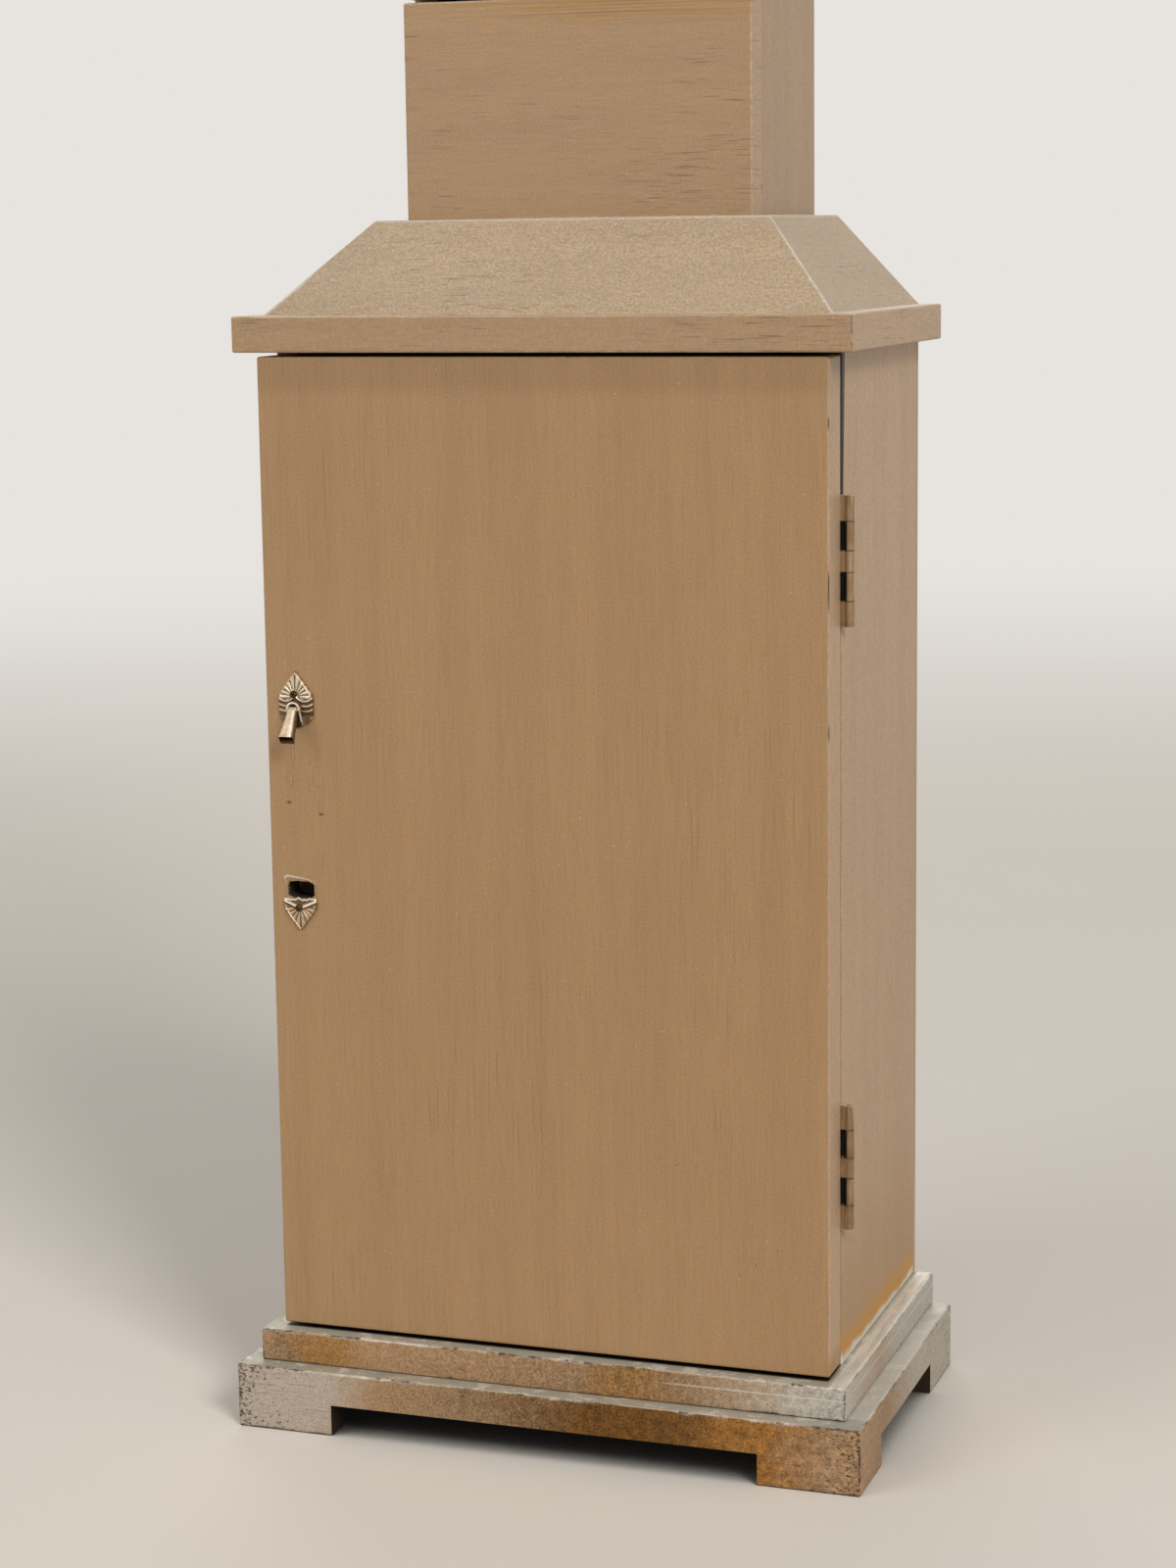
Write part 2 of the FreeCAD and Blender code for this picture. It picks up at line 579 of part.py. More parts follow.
def build_hood(hinges):
    frame = board(-X_EAVE, X_EAVE, Y_EAVE, Y_REAR, Z_HOOD, Z_HOOD_SIDE)
    gate = X_TRUNK + HOOD_CLEAR
    opening = box(-gate, gate, Y_TRUNK_CASE - HOOD_CLEAR, Y_REAR, Z_HOOD, Z_HOOD_SIDE)
    nodes["hood_base_frame"] = frame.cut(opening)
    right = board(X_SIDE - SIDE_T, X_SIDE, Y_CASE, Y_REAR, Z_HOOD_SIDE, Z_CORNICE)
    left = flipped(right)
    for one in hinges:
        right = right.cut(one["case_seat"])
    nodes["hood_sides"] = Part.makeCompound([left, right])
    nodes["hood_cornice"] = board(-X_EAVE, X_EAVE, Y_EAVE, Y_REAR, Z_CORNICE, Z_ROOF)
    rings = []
    for x, y, z in ((SKIRT_BOTTOM_X, SKIRT_BOTTOM_Y, Z_ROOF), (SKIRT_TOP_X, SKIRT_TOP_Y, Z_ROOF + ROOF_H)):
        rings.append([vec(-x, y, z), vec(x, y, z), vec(x, Y_REAR, z), vec(-x, Y_REAR, z)])
    nodes["hood_roof"] = hexahedron(*rings)
    nodes["hood_hinges"] = Part.makeCompound([piece for one in hinges
                                              for piece in [one["case"], one["pin"]] + one["case_screws"]])
    z_low = Z_HOOD_SIDE + EDGE_GAP
    z_high = Z_CORNICE - EDGE_GAP
    door = board(-X_SIDE, X_SIDE, Y_HOOD_DOOR, Y_DOOR_BACK, z_low, z_high)
    sight = X_SIDE - STILE_W
    door = door.cut(box(-sight, sight, Y_HOOD_DOOR, Y_DOOR_BACK, z_low + STILE_W, z_high - STILE_W))
    pane = sight + GLASS_REBATE
    bottom = z_low + STILE_W - GLASS_REBATE
    top = z_high - STILE_W + GLASS_REBATE
    y_pane = Y_DOOR_BACK - GLASS_SET
    door = door.cut(box(-pane, pane, y_pane, Y_DOOR_BACK, bottom, top))
    for one in hinges:
        door = door.cut(one["door_seat"])
    knob = rod(HOOD_KNOB_R, STILE_W / 2 - X_SIDE, Z_DIAL, Y_HOOD_DOOR - HOOD_KNOB_L, Y_HOOD_DOOR)
    nose = [edge for edge in knob.Edges if edge.BoundBox.YMax < Y_HOOD_DOOR - HOOD_KNOB_L / 2]
    knob = knob.makeFillet(HOOD_KNOB_ROUND, nose)
    nodes["hood_door_frame"] = Part.makeCompound([door, knob])
    nodes["hood_door_glass"] = box(-pane, pane, y_pane, y_pane + GLASS_T, bottom, top)
    nodes["hood_door_hinges"] = Part.makeCompound([piece for one in hinges
                                                   for piece in [one["door"]] + one["door_screws"]])


def polar(radius, angle, centre):
    return vec(centre[0] + radius * math.cos(angle), 0, centre[1] + radius * math.sin(angle))


def swept(edges, y0, y1):
    face = Part.Face(Part.Wire(edges))
    solid = face.extrude(vec(0, y1 - y0, 0))
    solid.translate(vec(0, y0, 0))
    return solid


def involute(angle):
    return math.tan(angle) - angle


def gear(teeth, module, phase, centre, y0, y1):
    """A spur gear with one tooth centred on the angle phase."""
    pitch = teeth * module / 2
    tip = pitch + ADDENDUM * module
    root = pitch - DEDENDUM * module
    base = pitch * math.cos(PRESSURE_ANGLE)
    start = max(base, root)
    flat = (math.pi / 2 - BACKLASH) / teeth

    def spread(radius):
        return flat + involute(PRESSURE_ANGLE) - involute(math.acos(min(1.0, base / radius)))

    edges = []
    step = 2 * math.pi / teeth
    for index in range(teeth):
        middle = phase + index * step
        left = [polar(q, middle - spread(q), centre) for q in (start, pitch, tip)]
        right = [polar(q, middle + spread(q), centre) for q in (tip, pitch, start)]
        foot = polar(root, middle - spread(start), centre)
        heel = polar(root, middle + spread(start), centre)
        if root < base:
            edges.append(Part.makeLine(foot, left[0]))
        edges.append(Part.Arc(*left).toShape())
        edges.append(Part.Arc(left[2], polar(tip, middle, centre), right[0]).toShape())
        edges.append(Part.Arc(*right).toShape())
        if root < base:
            edges.append(Part.makeLine(right[2], heel))
        following = polar(root, middle + step - spread(start), centre)
        edges.append(Part.Arc(heel, polar(root, middle + step / 2, centre), following).toShape())
    return swept(edges, y0, y1)


def saw_wheel(teeth, tip, depth, centre, y0, y1):
    """A wheel with raked, pointed teeth."""
    points = []
    for index in range(teeth):
        angle = 2 * math.pi * index / teeth
        points.append(polar(tip, angle, centre))
        points.append(polar(tip - depth, angle + math.pi / teeth / 4, centre))
    edges = [Part.makeLine(points[i - 1], points[i]) for i in range(len(points))]
    return swept(edges, y0, y1)


def crossed_out(wheel, rim, centre, y0, y1):
    """Open a wheel between its hub and its rim, leaving four arms."""
    opening = rod(rim, centre[0], centre[1], y0, y1).cut(rod(HUB_R, centre[0], centre[1], y0, y1))
    half = SPOKE_W / 2
    x, z = centre
    opening = opening.cut(box(x - rim, x + rim, y0, y1, z - half, z + half))
    opening = opening.cut(box(x - half, x + half, y0, y1, z - rim, z + rim))
    return wheel.cut(opening)


def mesh_phase(driver, driven, teeth):
    """Tooth phases that set a tooth of the driver in a gap of the driven gear."""
    angle = math.atan2(driven[1] - driver[1], driven[0] - driver[0])
    return angle, angle + math.pi + math.pi / teeth


def train_layout():
    """Centres of the arbors as (x, z)."""
    centre = (0.0, Z_DIAL)
    barrel = (0.0, Z_DIAL - (GREAT_TEETH + PINION_TEETH) * GREAT_MODULE / 2)
    escape = (0.0, Z_DIAL + ESCAPE_RISE)
    to_third = (CENTRE_TEETH + PINION_TEETH) * CENTRE_MODULE / 2
    to_escape = (THIRD_TEETH + PINION_TEETH) * THIRD_MODULE / 2
    up = (to_third ** 2 + ESCAPE_RISE ** 2 - to_escape ** 2) / (2 * ESCAPE_RISE)
    third = (math.sqrt(to_third ** 2 - up ** 2), Z_DIAL + up)
    reach = (CANNON_TEETH + MINUTE_TEETH) * CANNON_MODULE / 2
    minute = (-reach * 0.8, Z_DIAL + reach * 0.6)
    return {"centre": centre, "barrel": barrel, "escape": escape, "third": third, "minute": minute,
            "pallet": (0.0, Z_PALLET)}


def arbor(radius, place, y_front, y_back):
    """A round arbor with a pivot in each plate."""
    x, z = place
    body = rod(radius, x, z, Y_TRAIN + END_SHAKE, Y_PLATE_BACK - END_SHAKE)
    return body.fuse(rod(TRAIN_PIVOT_R, x, z, y_front, y_back))


def build_train():
    at = train_layout()
    y_end = Y_PLATE_BACK + PLATE_T
    y_great = Y_PLATE_BACK - PINION_T - WHEEL_T / 2
    great_phase, centre_pinion_phase = mesh_phase(at["barrel"], at["centre"], PINION_TEETH)
    wheel_phase, third_pinion_phase = mesh_phase(at["centre"], at["third"], PINION_TEETH)
    third_phase, escape_pinion_phase = mesh_phase(at["third"], at["escape"], PINION_TEETH)

    x, z = at["barrel"]
    y_drum = y_great - DRUM_L
    drum = rod(DRUM_R, x, z, y_drum, y_great)
    great = gear(GREAT_TEETH, GREAT_MODULE, great_phase, at["barrel"], y_great, y_great + WHEEL_T)
    hollow = rod(DRUM_R - DRUM_WALL, x, z, y_drum + DRUM_WALL, y_great)
    shaft = rod(WINDING_R + PIVOT_FIT, x, z, y_drum, y_great + WHEEL_T)
    barrel = drum.fuse(great).cut(hollow).cut(shaft).removeSplitter()
    spring = build_mainspring(at["barrel"], y_drum + 2 * DRUM_WALL, y_great - DRUM_WALL)
    nodes["mainspring_barrel"] = Part.makeCompound([barrel, spring])

    core = rod(CORE_R, x, z, y_drum + DRUM_WALL + END_SHAKE, y_great - END_SHAKE)
    shaft = rod(WINDING_R, x, z, Y_TRAIN + END_SHAKE, Y_PLATE_BACK - END_SHAKE)
    pivot = rod(WINDING_PIVOT_R, x, z, PLATE_Y - END_SHAKE - WHEEL_T, y_end)
    ratchet = saw_wheel(RATCHET_TEETH, RATCHET_R, RATCHET_DEPTH, at["barrel"], PLATE_Y - END_SHAKE - WHEEL_T,
                        PLATE_Y - END_SHAKE)
    half = SQUARE / 2
    square = box(x - half, x + half, PLATE_Y - DIAL_OUT - DIAL_T - SQUARE_OUT, PLATE_Y, z - half, z + half)
    nodes["winding_arbor"] = core.fuse(shaft).fuse(pivot).fuse(ratchet).fuse(square).removeSplitter()

    y_centre = Y_TRAIN + WHEEL_T + END_SHAKE
    y_minute_hand = PLATE_Y - DIAL_OUT - DIAL_T - 2 * HAND_STEP
    wheel = gear(CENTRE_TEETH, CENTRE_MODULE, wheel_phase, at["centre"], y_centre, y_centre + WHEEL_T)
    rim = CENTRE_TEETH * CENTRE_MODULE / 2 - DEDENDUM * CENTRE_MODULE - RIM_T
    wheel = crossed_out(wheel, rim, at["centre"], y_centre, y_centre + WHEEL_T)
    pinion = gear(PINION_TEETH, GREAT_MODULE, centre_pinion_phase, at["centre"], y_great - WHEEL_T,
                  y_great - WHEEL_T + PINION_T)
    stem = rod(CENTRE_ARBOR_R, 0, Z_DIAL, y_minute_hand - HAND_T, Y_TRAIN + END_SHAKE)
    pieces = arbor(CENTRE_ARBOR_R, at["centre"], Y_TRAIN, y_end).fuse(stem).fuse(pinion).fuse(wheel)
    nodes["centre_wheel"] = pieces.removeSplitter()

    x, z = at["third"]
    y_third = Y_PLATE_BACK - 2 * PINION_T - 2 * WHEEL_T
    wheel = gear(THIRD_TEETH, THIRD_MODULE, third_phase, at["third"], y_third, y_third + WHEEL_T)
    rim = THIRD_TEETH * THIRD_MODULE / 2 - DEDENDUM * THIRD_MODULE - RIM_T
    wheel = crossed_out(wheel, rim, at["third"], y_third, y_third + WHEEL_T)
    pinion = gear(PINION_TEETH, CENTRE_MODULE, third_pinion_phase, at["third"], Y_TRAIN + 2 * END_SHAKE,
                  Y_TRAIN + 2 * END_SHAKE + PINION_T)
    shaft = arbor(TRAIN_ARBOR_R, at["third"], PLATE_Y, y_end)
    nodes["third_wheel"] = shaft.fuse(pinion).fuse(wheel).removeSplitter()

    y_escape = Y_TRAIN + PINION_T + WHEEL_T * 2
    wheel = saw_wheel(ESCAPE_TEETH, ESCAPE_R, ESCAPE_DEPTH, at["escape"], y_escape, y_escape + WHEEL_T)
    wheel = crossed_out(wheel, ESCAPE_R - ESCAPE_DEPTH - RIM_T, at["escape"], y_escape, y_escape + WHEEL_T)
    pinion = gear(PINION_TEETH, THIRD_MODULE, escape_pinion_phase, at["escape"], y_third - WHEEL_T,
                  y_third - WHEEL_T + PINION_T)
    shaft = arbor(TRAIN_ARBOR_R, at["escape"], PLATE_Y, y_end)
    nodes["escape_wheel"] = shaft.fuse(pinion).fuse(wheel).removeSplitter()
    build_pallets(at, y_escape)
    build_motion_work(at, y_minute_hand)
    build_plates(at)


def build_mainspring(place, y0, y1):
    """A flat spiral of half circles, hooked at the drum and near the core."""
    x, z = place
    first = CORE_R + SPRING_T

    def path(offset):
        arcs = []
        for turn in range(SPRING_TURNS):
            right = first + turn * SPRING_PITCH + offset
            left = -(first + (turn + 0.5) * SPRING_PITCH + offset)
            following = right + SPRING_PITCH
            for start, end, side in ((right, left, 1), (left, following, -1)):
                middle = (start + end) / 2
                radius = abs(start - end) / 2
                arcs.append(Part.Arc(vec(x + start, 0, z), vec(x + middle, 0, z + side * radius),
                                     vec(x + end, 0, z)).toShape())
        return arcs

    outer = path(SPRING_T / 2)
    inner = path(-SPRING_T / 2)
    caps = []
    for end in (x + first, x + first + SPRING_TURNS * SPRING_PITCH):
        caps.append(Part.makeLine(vec(end - SPRING_T / 2, 0, z), vec(end + SPRING_T / 2, 0, z)))
    wire = Part.Wire(Part.__sortEdges__(outer + inner + caps))
    spring = Part.Face(wire).extrude(vec(0, y1 - y0, 0))
    spring.translate(vec(0, y0, 0))
    return spring


def build_pallets(at, y_escape):
    """Pallet arbor, anchor and crutch. The pallets stand just clear of the escape wheel's tips."""
    x, z = at["pallet"]
    y_end = Y_PLATE_BACK + PLATE_T + COCK_OUT + COCK_T
    body = rod(TRAIN_ARBOR_R, x, z, Y_TRAIN + END_SHAKE, y_end - COCK_T - END_SHAKE)
    body = body.fuse(rod(TRAIN_PIVOT_R, x, z, PLATE_Y, y_end))
    reach = ESCAPE_R + PALLET_CLEAR
    tip_x = reach * math.sin(PALLET_SPREAD)
    tip_z = at["escape"][1] + reach * math.cos(PALLET_SPREAD)
    thick = SPOKE_W * 1.5
    half = [(0, z + HUB_R), (tip_x * 0.6, z + HUB_R * 0.6), (tip_x + thick, tip_z + thick * 0.6),
            (tip_x, tip_z), (tip_x * 0.62, z - HUB_R * 0.55), (0, z - HUB_R)]
    anchor = prism(mirrored(half), y_escape - END_SHAKE, y_escape + WHEEL_T + END_SHAKE)
    y_crutch = Y_PLATE_BACK + PLATE_T + COCK_OUT / 2 - CRUTCH_T / 2
    arm = box(x - CRUTCH_W / 2, x + CRUTCH_W / 2, y_crutch, y_crutch + CRUTCH_T, z - CRUTCH_L, z)
    prong = ROD_R + FORK_GAP + FORK_R
    bridge = box(x - prong - FORK_R, x + prong + FORK_R, y_crutch, y_crutch + CRUTCH_T,
                 z - CRUTCH_L - 2 * FORK_R, z - CRUTCH_L + FORK_R)
    pallets = body.fuse(anchor).fuse(arm).fuse(bridge)
    for side in (-1, 1):
        pallets = pallets.fuse(rod(FORK_R, x + side * prong, z - CRUTCH_L, y_crutch, PENDULUM_Y + ROD_R))
    nodes["pallets_and_crutch"] = pallets.removeSplitter()


def hand(length, angle, y0, bore):
    """A tapered spade hand with a round boss, turned clockwise from twelve."""
    neck = HAND_BOSS_R * 0.45
    half = [(0, length), (neck * 0.9, length * 0.8), (neck * 0.35, length * 0.66), (neck, 0)]
    points = [(x, z + Z_DIAL) for x, z in mirrored(half)]
    blade = prism(points, y0, y0 + HAND_T).fuse(rod(HAND_BOSS_R, 0, Z_DIAL, y0, y0 + HAND_T))
    blade = blade.cut(rod(bore, 0, Z_DIAL, y0, y0 + HAND_T)).removeSplitter()
    blade.rotate(vec(0, 0, Z_DIAL), Y_AXIS, math.degrees(angle))
    return blade


def build_motion_work(at, y_minute_hand):
    y_cannon = PLATE_Y - END_SHAKE - 2 * WHEEL_T
    cannon_phase, minute_phase = mesh_phase(at["centre"], at["minute"], MINUTE_TEETH)
    hour_phase, minute_pinion_phase = mesh_phase(at["centre"], at["minute"], MINUTE_PINION_TEETH)
    cannon = gear(CANNON_TEETH, CANNON_MODULE, cannon_phase, at["centre"], y_cannon, y_cannon + 2 * WHEEL_T)
    cannon = cannon.fuse(rod(CANNON_PIPE_R, 0, Z_DIAL, y_minute_hand, y_cannon))
    bore = rod(CENTRE_ARBOR_R + PIN_FIT, 0, Z_DIAL, y_minute_hand, y_cannon + 2 * WHEEL_T)
    nodes["cannon_pinion"] = cannon.cut(bore).removeSplitter()
    nodes["minute_hand"] = hand(MINUTE_HAND_L, MINUTE_ANGLE, y_minute_hand - HAND_T, CENTRE_ARBOR_R + PIN_FIT)

    y_hour = y_cannon - WHEEL_T - MOTION_GAP
    y_hour_hand = y_minute_hand + HAND_STEP
    wheel = gear(HOUR_TEETH, HOUR_MODULE, hour_phase, at["centre"], y_hour, y_hour + WHEEL_T)
    wheel = wheel.fuse(rod(HOUR_PIPE_R, 0, Z_DIAL, y_hour_hand, y_hour))
    bore = rod(CANNON_PIPE_R + PIPE_CLEAR, 0, Z_DIAL, y_hour_hand, y_hour + WHEEL_T)
    nodes["hour_wheel"] = wheel.cut(bore).removeSplitter()
    nodes["hour_hand"] = hand(HOUR_HAND_L, HOUR_ANGLE, y_hour_hand - HAND_T, CANNON_PIPE_R + PIPE_CLEAR)

    x, z = at["minute"]
    wheel = gear(MINUTE_TEETH, CANNON_MODULE, minute_phase, at["minute"], y_cannon + WHEEL_T / 2,
                 y_cannon + WHEEL_T * 1.5)
    wheel = wheel.fuse(gear(MINUTE_PINION_TEETH, HOUR_MODULE, minute_pinion_phase, at["minute"],
                            y_hour - WHEEL_T / 2, y_cannon + WHEEL_T / 2))
    bore = rod(TRAIN_PIVOT_R + PIVOT_FIT, x, z, y_hour - WHEEL_T / 2, y_cannon + WHEEL_T * 1.5)
    nodes["minute_wheel"] = wheel.cut(bore).removeSplitter()


def build_plates(at):
    half = PLATE_W / 2
    z0 = Z_DIAL - PLATE_DOWN
    z1 = Z_DIAL + PLATE_UP
    y_end = Y_PLATE_BACK + PLATE_T
    plates = [box(-half, half, y, y + PLATE_T, z0, z1) for y in (PLATE_Y, Y_PLATE_BACK)]
    radii = {"barrel": WINDING_PIVOT_R, "third": TRAIN_PIVOT_R, "escape": TRAIN_PIVOT_R}
    for name, radius in radii.items():
        hole = rod(radius + PIVOT_FIT, *at[name], PLATE_Y, y_end)
        plates = [plate.cut(hole) for plate in plates]
    front_holes = {"centre": CENTRE_ARBOR_R, "pallet": TRAIN_PIVOT_R}
    back_holes = {"centre": TRAIN_PIVOT_R, "pallet": TRAIN_ARBOR_R + END_SHAKE}
    for name in front_holes:
        plates[0] = plates[0].cut(rod(front_holes[name] + PIVOT_FIT, *at[name], PLATE_Y, Y_TRAIN))
        plates[1] = plates[1].cut(rod(back_holes[name] + PIVOT_FIT, *at[name], Y_PLATE_BACK, y_end))
    stud = rod(TRAIN_PIVOT_R, *at["minute"], PLATE_Y - DIAL_OUT / 2, PLATE_Y)
    plates[0] = plates[0].fuse(stud)
    nodes["movement_plates"] = Part.makeCompound(plates)
    pillars = []
    for side in (-1, 1):
        for z in (z0 + PILLAR_IN, z1 - PILLAR_IN):
            pillars.append(rod(PILLAR_R, side * (half - PILLAR_IN), z, Y_TRAIN, Y_PLATE_BACK))
    nodes["movement_pillars"] = Part.makeCompound(pillars)

    seat = box(-X_TRUNK, X_TRUNK, PLATE_Y - SEAT_LIP, Y_BACKBOARD, Z_SEAT, Z_SEAT + SEAT_T)
    slot = box(-SEAT_SLOT_W / 2, SEAT_SLOT_W / 2, PENDULUM_Y - SEAT_SLOT_D / 2, PENDULUM_Y + SEAT_SLOT_D / 2,
               Z_SEAT, Z_SEAT + SEAT_T)
    nodes["seatboard"] = seat.cut(slot)

    y_dial = PLATE_Y - DIAL_OUT
    side = DIAL_W / 2
    dial = box(-side, side, y_dial - DIAL_T, y_dial, Z_DIAL - side, Z_DIAL + side)
    dial = dial.cut(rod(CENTRE_HOLE_R, *at["centre"], y_dial - DIAL_T, y_dial))
    dial = dial.cut(rod(WINDING_HOLE_R, *at["barrel"], y_dial - DIAL_T, y_dial))
    for pillar in pillars:
        middle = pillar.CenterOfMass
        dial = dial.fuse(rod(DIAL_FOOT_R, middle.x, middle.z, y_dial, PLATE_Y))
    nodes["dial"] = dial


def build_pendulum():
    """Back cock and suspension on the movement, and the pendulum that hangs from them."""
    x, z = 0.0, Z_PALLET
    y0 = Y_PLATE_BACK + PLATE_T
    y_bridge = y0 + COCK_OUT
    half = COCK_W / 2
    low = z - COCK_H / 2
    high = z + COCK_H / 2
    cock = box(-half, half, y_bridge, y_bridge + COCK_T, low, high)
    for side in (-1, 1):
        x0, x1 = sorted((side * half, side * (half - COCK_FOOT_W)))
        cock = cock.fuse(box(x0, x1, y0, y_bridge, low, high))
    width = SUSPENSION_W / 2
    y_spring = PENDULUM_Y - width
    post_low = z + COCK_H / 4
    post = box(-TOP_BLOCK_W / 2, TOP_BLOCK_W / 2, y_bridge, PENDULUM_Y + width, post_low, z + SUSPENSION_UP)
    leaf = box(-SUSPENSION_T / 2, SUSPENSION_T / 2, y_spring, PENDULUM_Y + width, post_low, z + SUSPENSION_UP)
    cock = cock.fuse(post).cut(leaf).cut(rod(TRAIN_PIVOT_R + PIVOT_FIT, x, z, y_bridge, y_bridge + COCK_T))
    nodes["back_cock"] = cock.removeSplitter()
    nodes["suspension_spring"] = box(-SUSPENSION_T / 2, SUSPENSION_T / 2, y_spring, PENDULUM_Y + width,
                                     z - SUSPENSION_DOWN, z + SUSPENSION_UP)
    block_top = z - TOP_BLOCK_DROP
    block = box(-TOP_BLOCK_W / 2, TOP_BLOCK_W / 2, y_spring, PENDULUM_Y + width,
                block_top - TOP_BLOCK_H, block_top)
    block = block.cut(box(-BLOCK_SLOT / 2, BLOCK_SLOT / 2, y_spring, PENDULUM_Y + width,
                          z - SUSPENSION_DOWN - 2 * END_SHAKE, block_top))
    z_bob = z - PENDULUM_L
    length = PENDULUM_L + TAIL - TOP_BLOCK_DROP - TOP_BLOCK_H
    bar = Part.makeCylinder(ROD_R, length, vec(0, PENDULUM_Y, z_bob - TAIL), Z_AXIS)
    nodes["pendulum_rod"] = block.fuse(bar).removeSplitter()
    bore = Part.makeCylinder(ROD_R + ROD_FIT, 2 * BOB_R, vec(0, PENDULUM_Y, z_bob - BOB_R), Z_AXIS)
    rim = BOB_RIM / 2
    crown = BOB_T / 2
    points = [vec(0, -crown, 0), vec(BOB_R * 0.6, -(crown + rim) * 0.55, 0), vec(BOB_R, -rim, 0)]
    back = [vec(p.x, -p.y, 0) for p in reversed(points)]
    edges = [Part.Arc(*points).toShape(), Part.makeLine(points[2], back[0])]
    edges += [Part.Arc(*back).toShape(), Part.makeLine(back[2], points[0])]
    outline = Part.Wire(edges)
    bob = Part.Face(outline).revolve(vec(0, 0, 0), Y_AXIS, 360)
    bob.translate(vec(0, PENDULUM_Y, z_bob))
    nodes["pendulum_bob"] = bob.cut(bore)
    top = z_bob - BOB_R - NUT_GAP
    nut = Part.makeCylinder(NUT_R, NUT_H, vec(0, PENDULUM_Y, top - NUT_H), Z_AXIS)
    thread = Part.makeCylinder(ROD_R + PIVOT_FIT, NUT_H, vec(0, PENDULUM_Y, top - NUT_H), Z_AXIS)
    nodes["rating_nut"] = nut.cut(thread)


def build_clock():
    base_ends = (Z_CARCASS + BASE_HINGE_UP, Z_EAVE - BASE_HINGE_DOWN)
    base_hinges = [hinge(X_SIDE, Y_DOOR_BACK, z) for z in base_ends]
    z_low = Z_TRUNK + BOTTOM_RAIL_H + HINGE_FROM_END
    z_high = Z_HOOD - TOP_RAIL_H - HINGE_FROM_END
    trunk_hinges = [hinge(X_TRUNK, Y_TRUNK_DOOR_BACK, z) for z in (z_low, z_high)]
    hood_ends = (Z_HOOD_SIDE + HINGE_FROM_END, Z_CORNICE - HINGE_FROM_END)
    hood_hinges = [hinge(X_SIDE, Y_DOOR_BACK, z) for z in hood_ends]
    fixed = base_hinges + trunk_hinges
    build_plinth()
    build_base(base_hinges)
    build_skirt()
    build_base_door(base_hinges)
    build_pull()
    build_trunk(trunk_hinges)
    build_backboard()
    build_throat()
    build_hood(hood_hinges)
    nodes["case_hinge_leaves"] = Part.makeCompound([one["case"] for one in fixed])
    nodes["case_hinge_pins"] = Part.makeCompound([one["pin"] for one in fixed])
    screws = [screw for one in fixed for screw in one["case_screws"]]
    nodes["case_hinge_screws"] = Part.makeCompound(screws)
    build_train()
    build_pendulum()


build_clock()
os.makedirs("parts", exist_ok=True)
for name, shape in nodes.items():
    shape.exportStep(os.path.join("parts", name + ".step"))
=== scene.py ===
import json
import math
import random

import bmesh
import bpy
import numpy as np
from mathutils import Matrix, Vector, noise


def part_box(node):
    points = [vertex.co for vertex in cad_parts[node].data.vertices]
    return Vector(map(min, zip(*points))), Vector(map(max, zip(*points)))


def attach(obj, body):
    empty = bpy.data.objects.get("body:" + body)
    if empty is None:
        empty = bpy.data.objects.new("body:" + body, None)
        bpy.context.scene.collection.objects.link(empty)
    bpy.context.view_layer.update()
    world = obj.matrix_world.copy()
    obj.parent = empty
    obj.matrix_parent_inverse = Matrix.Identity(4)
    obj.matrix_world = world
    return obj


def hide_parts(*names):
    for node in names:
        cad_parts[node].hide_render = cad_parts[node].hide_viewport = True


# Longcase clock in worn bronze paint. Lengths are metres, and MM turns millimetres into them.
MM = 0.001

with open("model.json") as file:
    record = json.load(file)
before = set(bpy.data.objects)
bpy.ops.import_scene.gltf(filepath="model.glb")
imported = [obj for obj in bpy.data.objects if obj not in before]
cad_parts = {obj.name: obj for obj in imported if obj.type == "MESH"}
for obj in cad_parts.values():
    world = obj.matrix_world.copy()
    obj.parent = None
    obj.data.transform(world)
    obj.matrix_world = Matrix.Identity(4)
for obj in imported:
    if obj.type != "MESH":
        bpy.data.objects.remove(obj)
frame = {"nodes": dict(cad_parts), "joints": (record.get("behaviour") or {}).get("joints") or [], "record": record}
nodes = frame["nodes"]
record = frame["record"]
body_of_node = {name: body for body, names in record["behaviour"]["bodies"].items() for name in names}
slot_of_node = {part["node"]: part["material_slot"] for part in record["subparts"]}
joint_of_body = {joint["child"]: joint.get("pos_m") for joint in frame["joints"]}
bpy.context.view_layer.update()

# Camera, worked out from the corners of the case
IMAGE_H = 1600
FOCAL_PX = 3305.1
CAMERA_AT = Vector((0.53947, -1.56422, 0.61254))
CAMERA_YAW = -0.3343
CAMERA_PITCH = 0.1685
CAMERA_ROLL = 0.0135
SENSOR = 36.0

# Colours, linear
BRONZE = (0.345, 0.212, 0.107, 1)
BRONZE_PALE = (0.352, 0.231, 0.133, 1)
BRONZE_DARK = (0.235, 0.142, 0.066, 1)
BRONZE_GREY = (0.445, 0.306, 0.192, 1)
BRONZE_DUST_AND_TOPLIGHT = (0.465, 0.362, 0.252, 1)
RUBBED = (0.62, 0.54, 0.42, 1)
BARE_METAL = (0.72, 0.64, 0.50, 1)
OCHRE = (0.34, 0.185, 0.045, 1)
RED_SPECK = (0.13, 0.02, 0.008, 1)
UNDERCOAT = (0.045, 0.028, 0.016, 1)
SILVER_PINK = (0.46, 0.392, 0.328, 1)
SILVER_GREY = (0.46, 0.415, 0.345, 1)
SILVER_WARM = (0.43, 0.335, 0.245, 1)
SILVER_PALE = (0.48, 0.455, 0.405, 1)
OLD_GOLD = (0.315, 0.20, 0.110, 1)
DARK_GOLD = (0.185, 0.105, 0.045, 1)
DEEP_GOLD = (0.145, 0.066, 0.014, 1)
RUST_GOLD = (0.32, 0.148, 0.036, 1)
GOLD_HAZE = (0.345, 0.185, 0.065, 1)
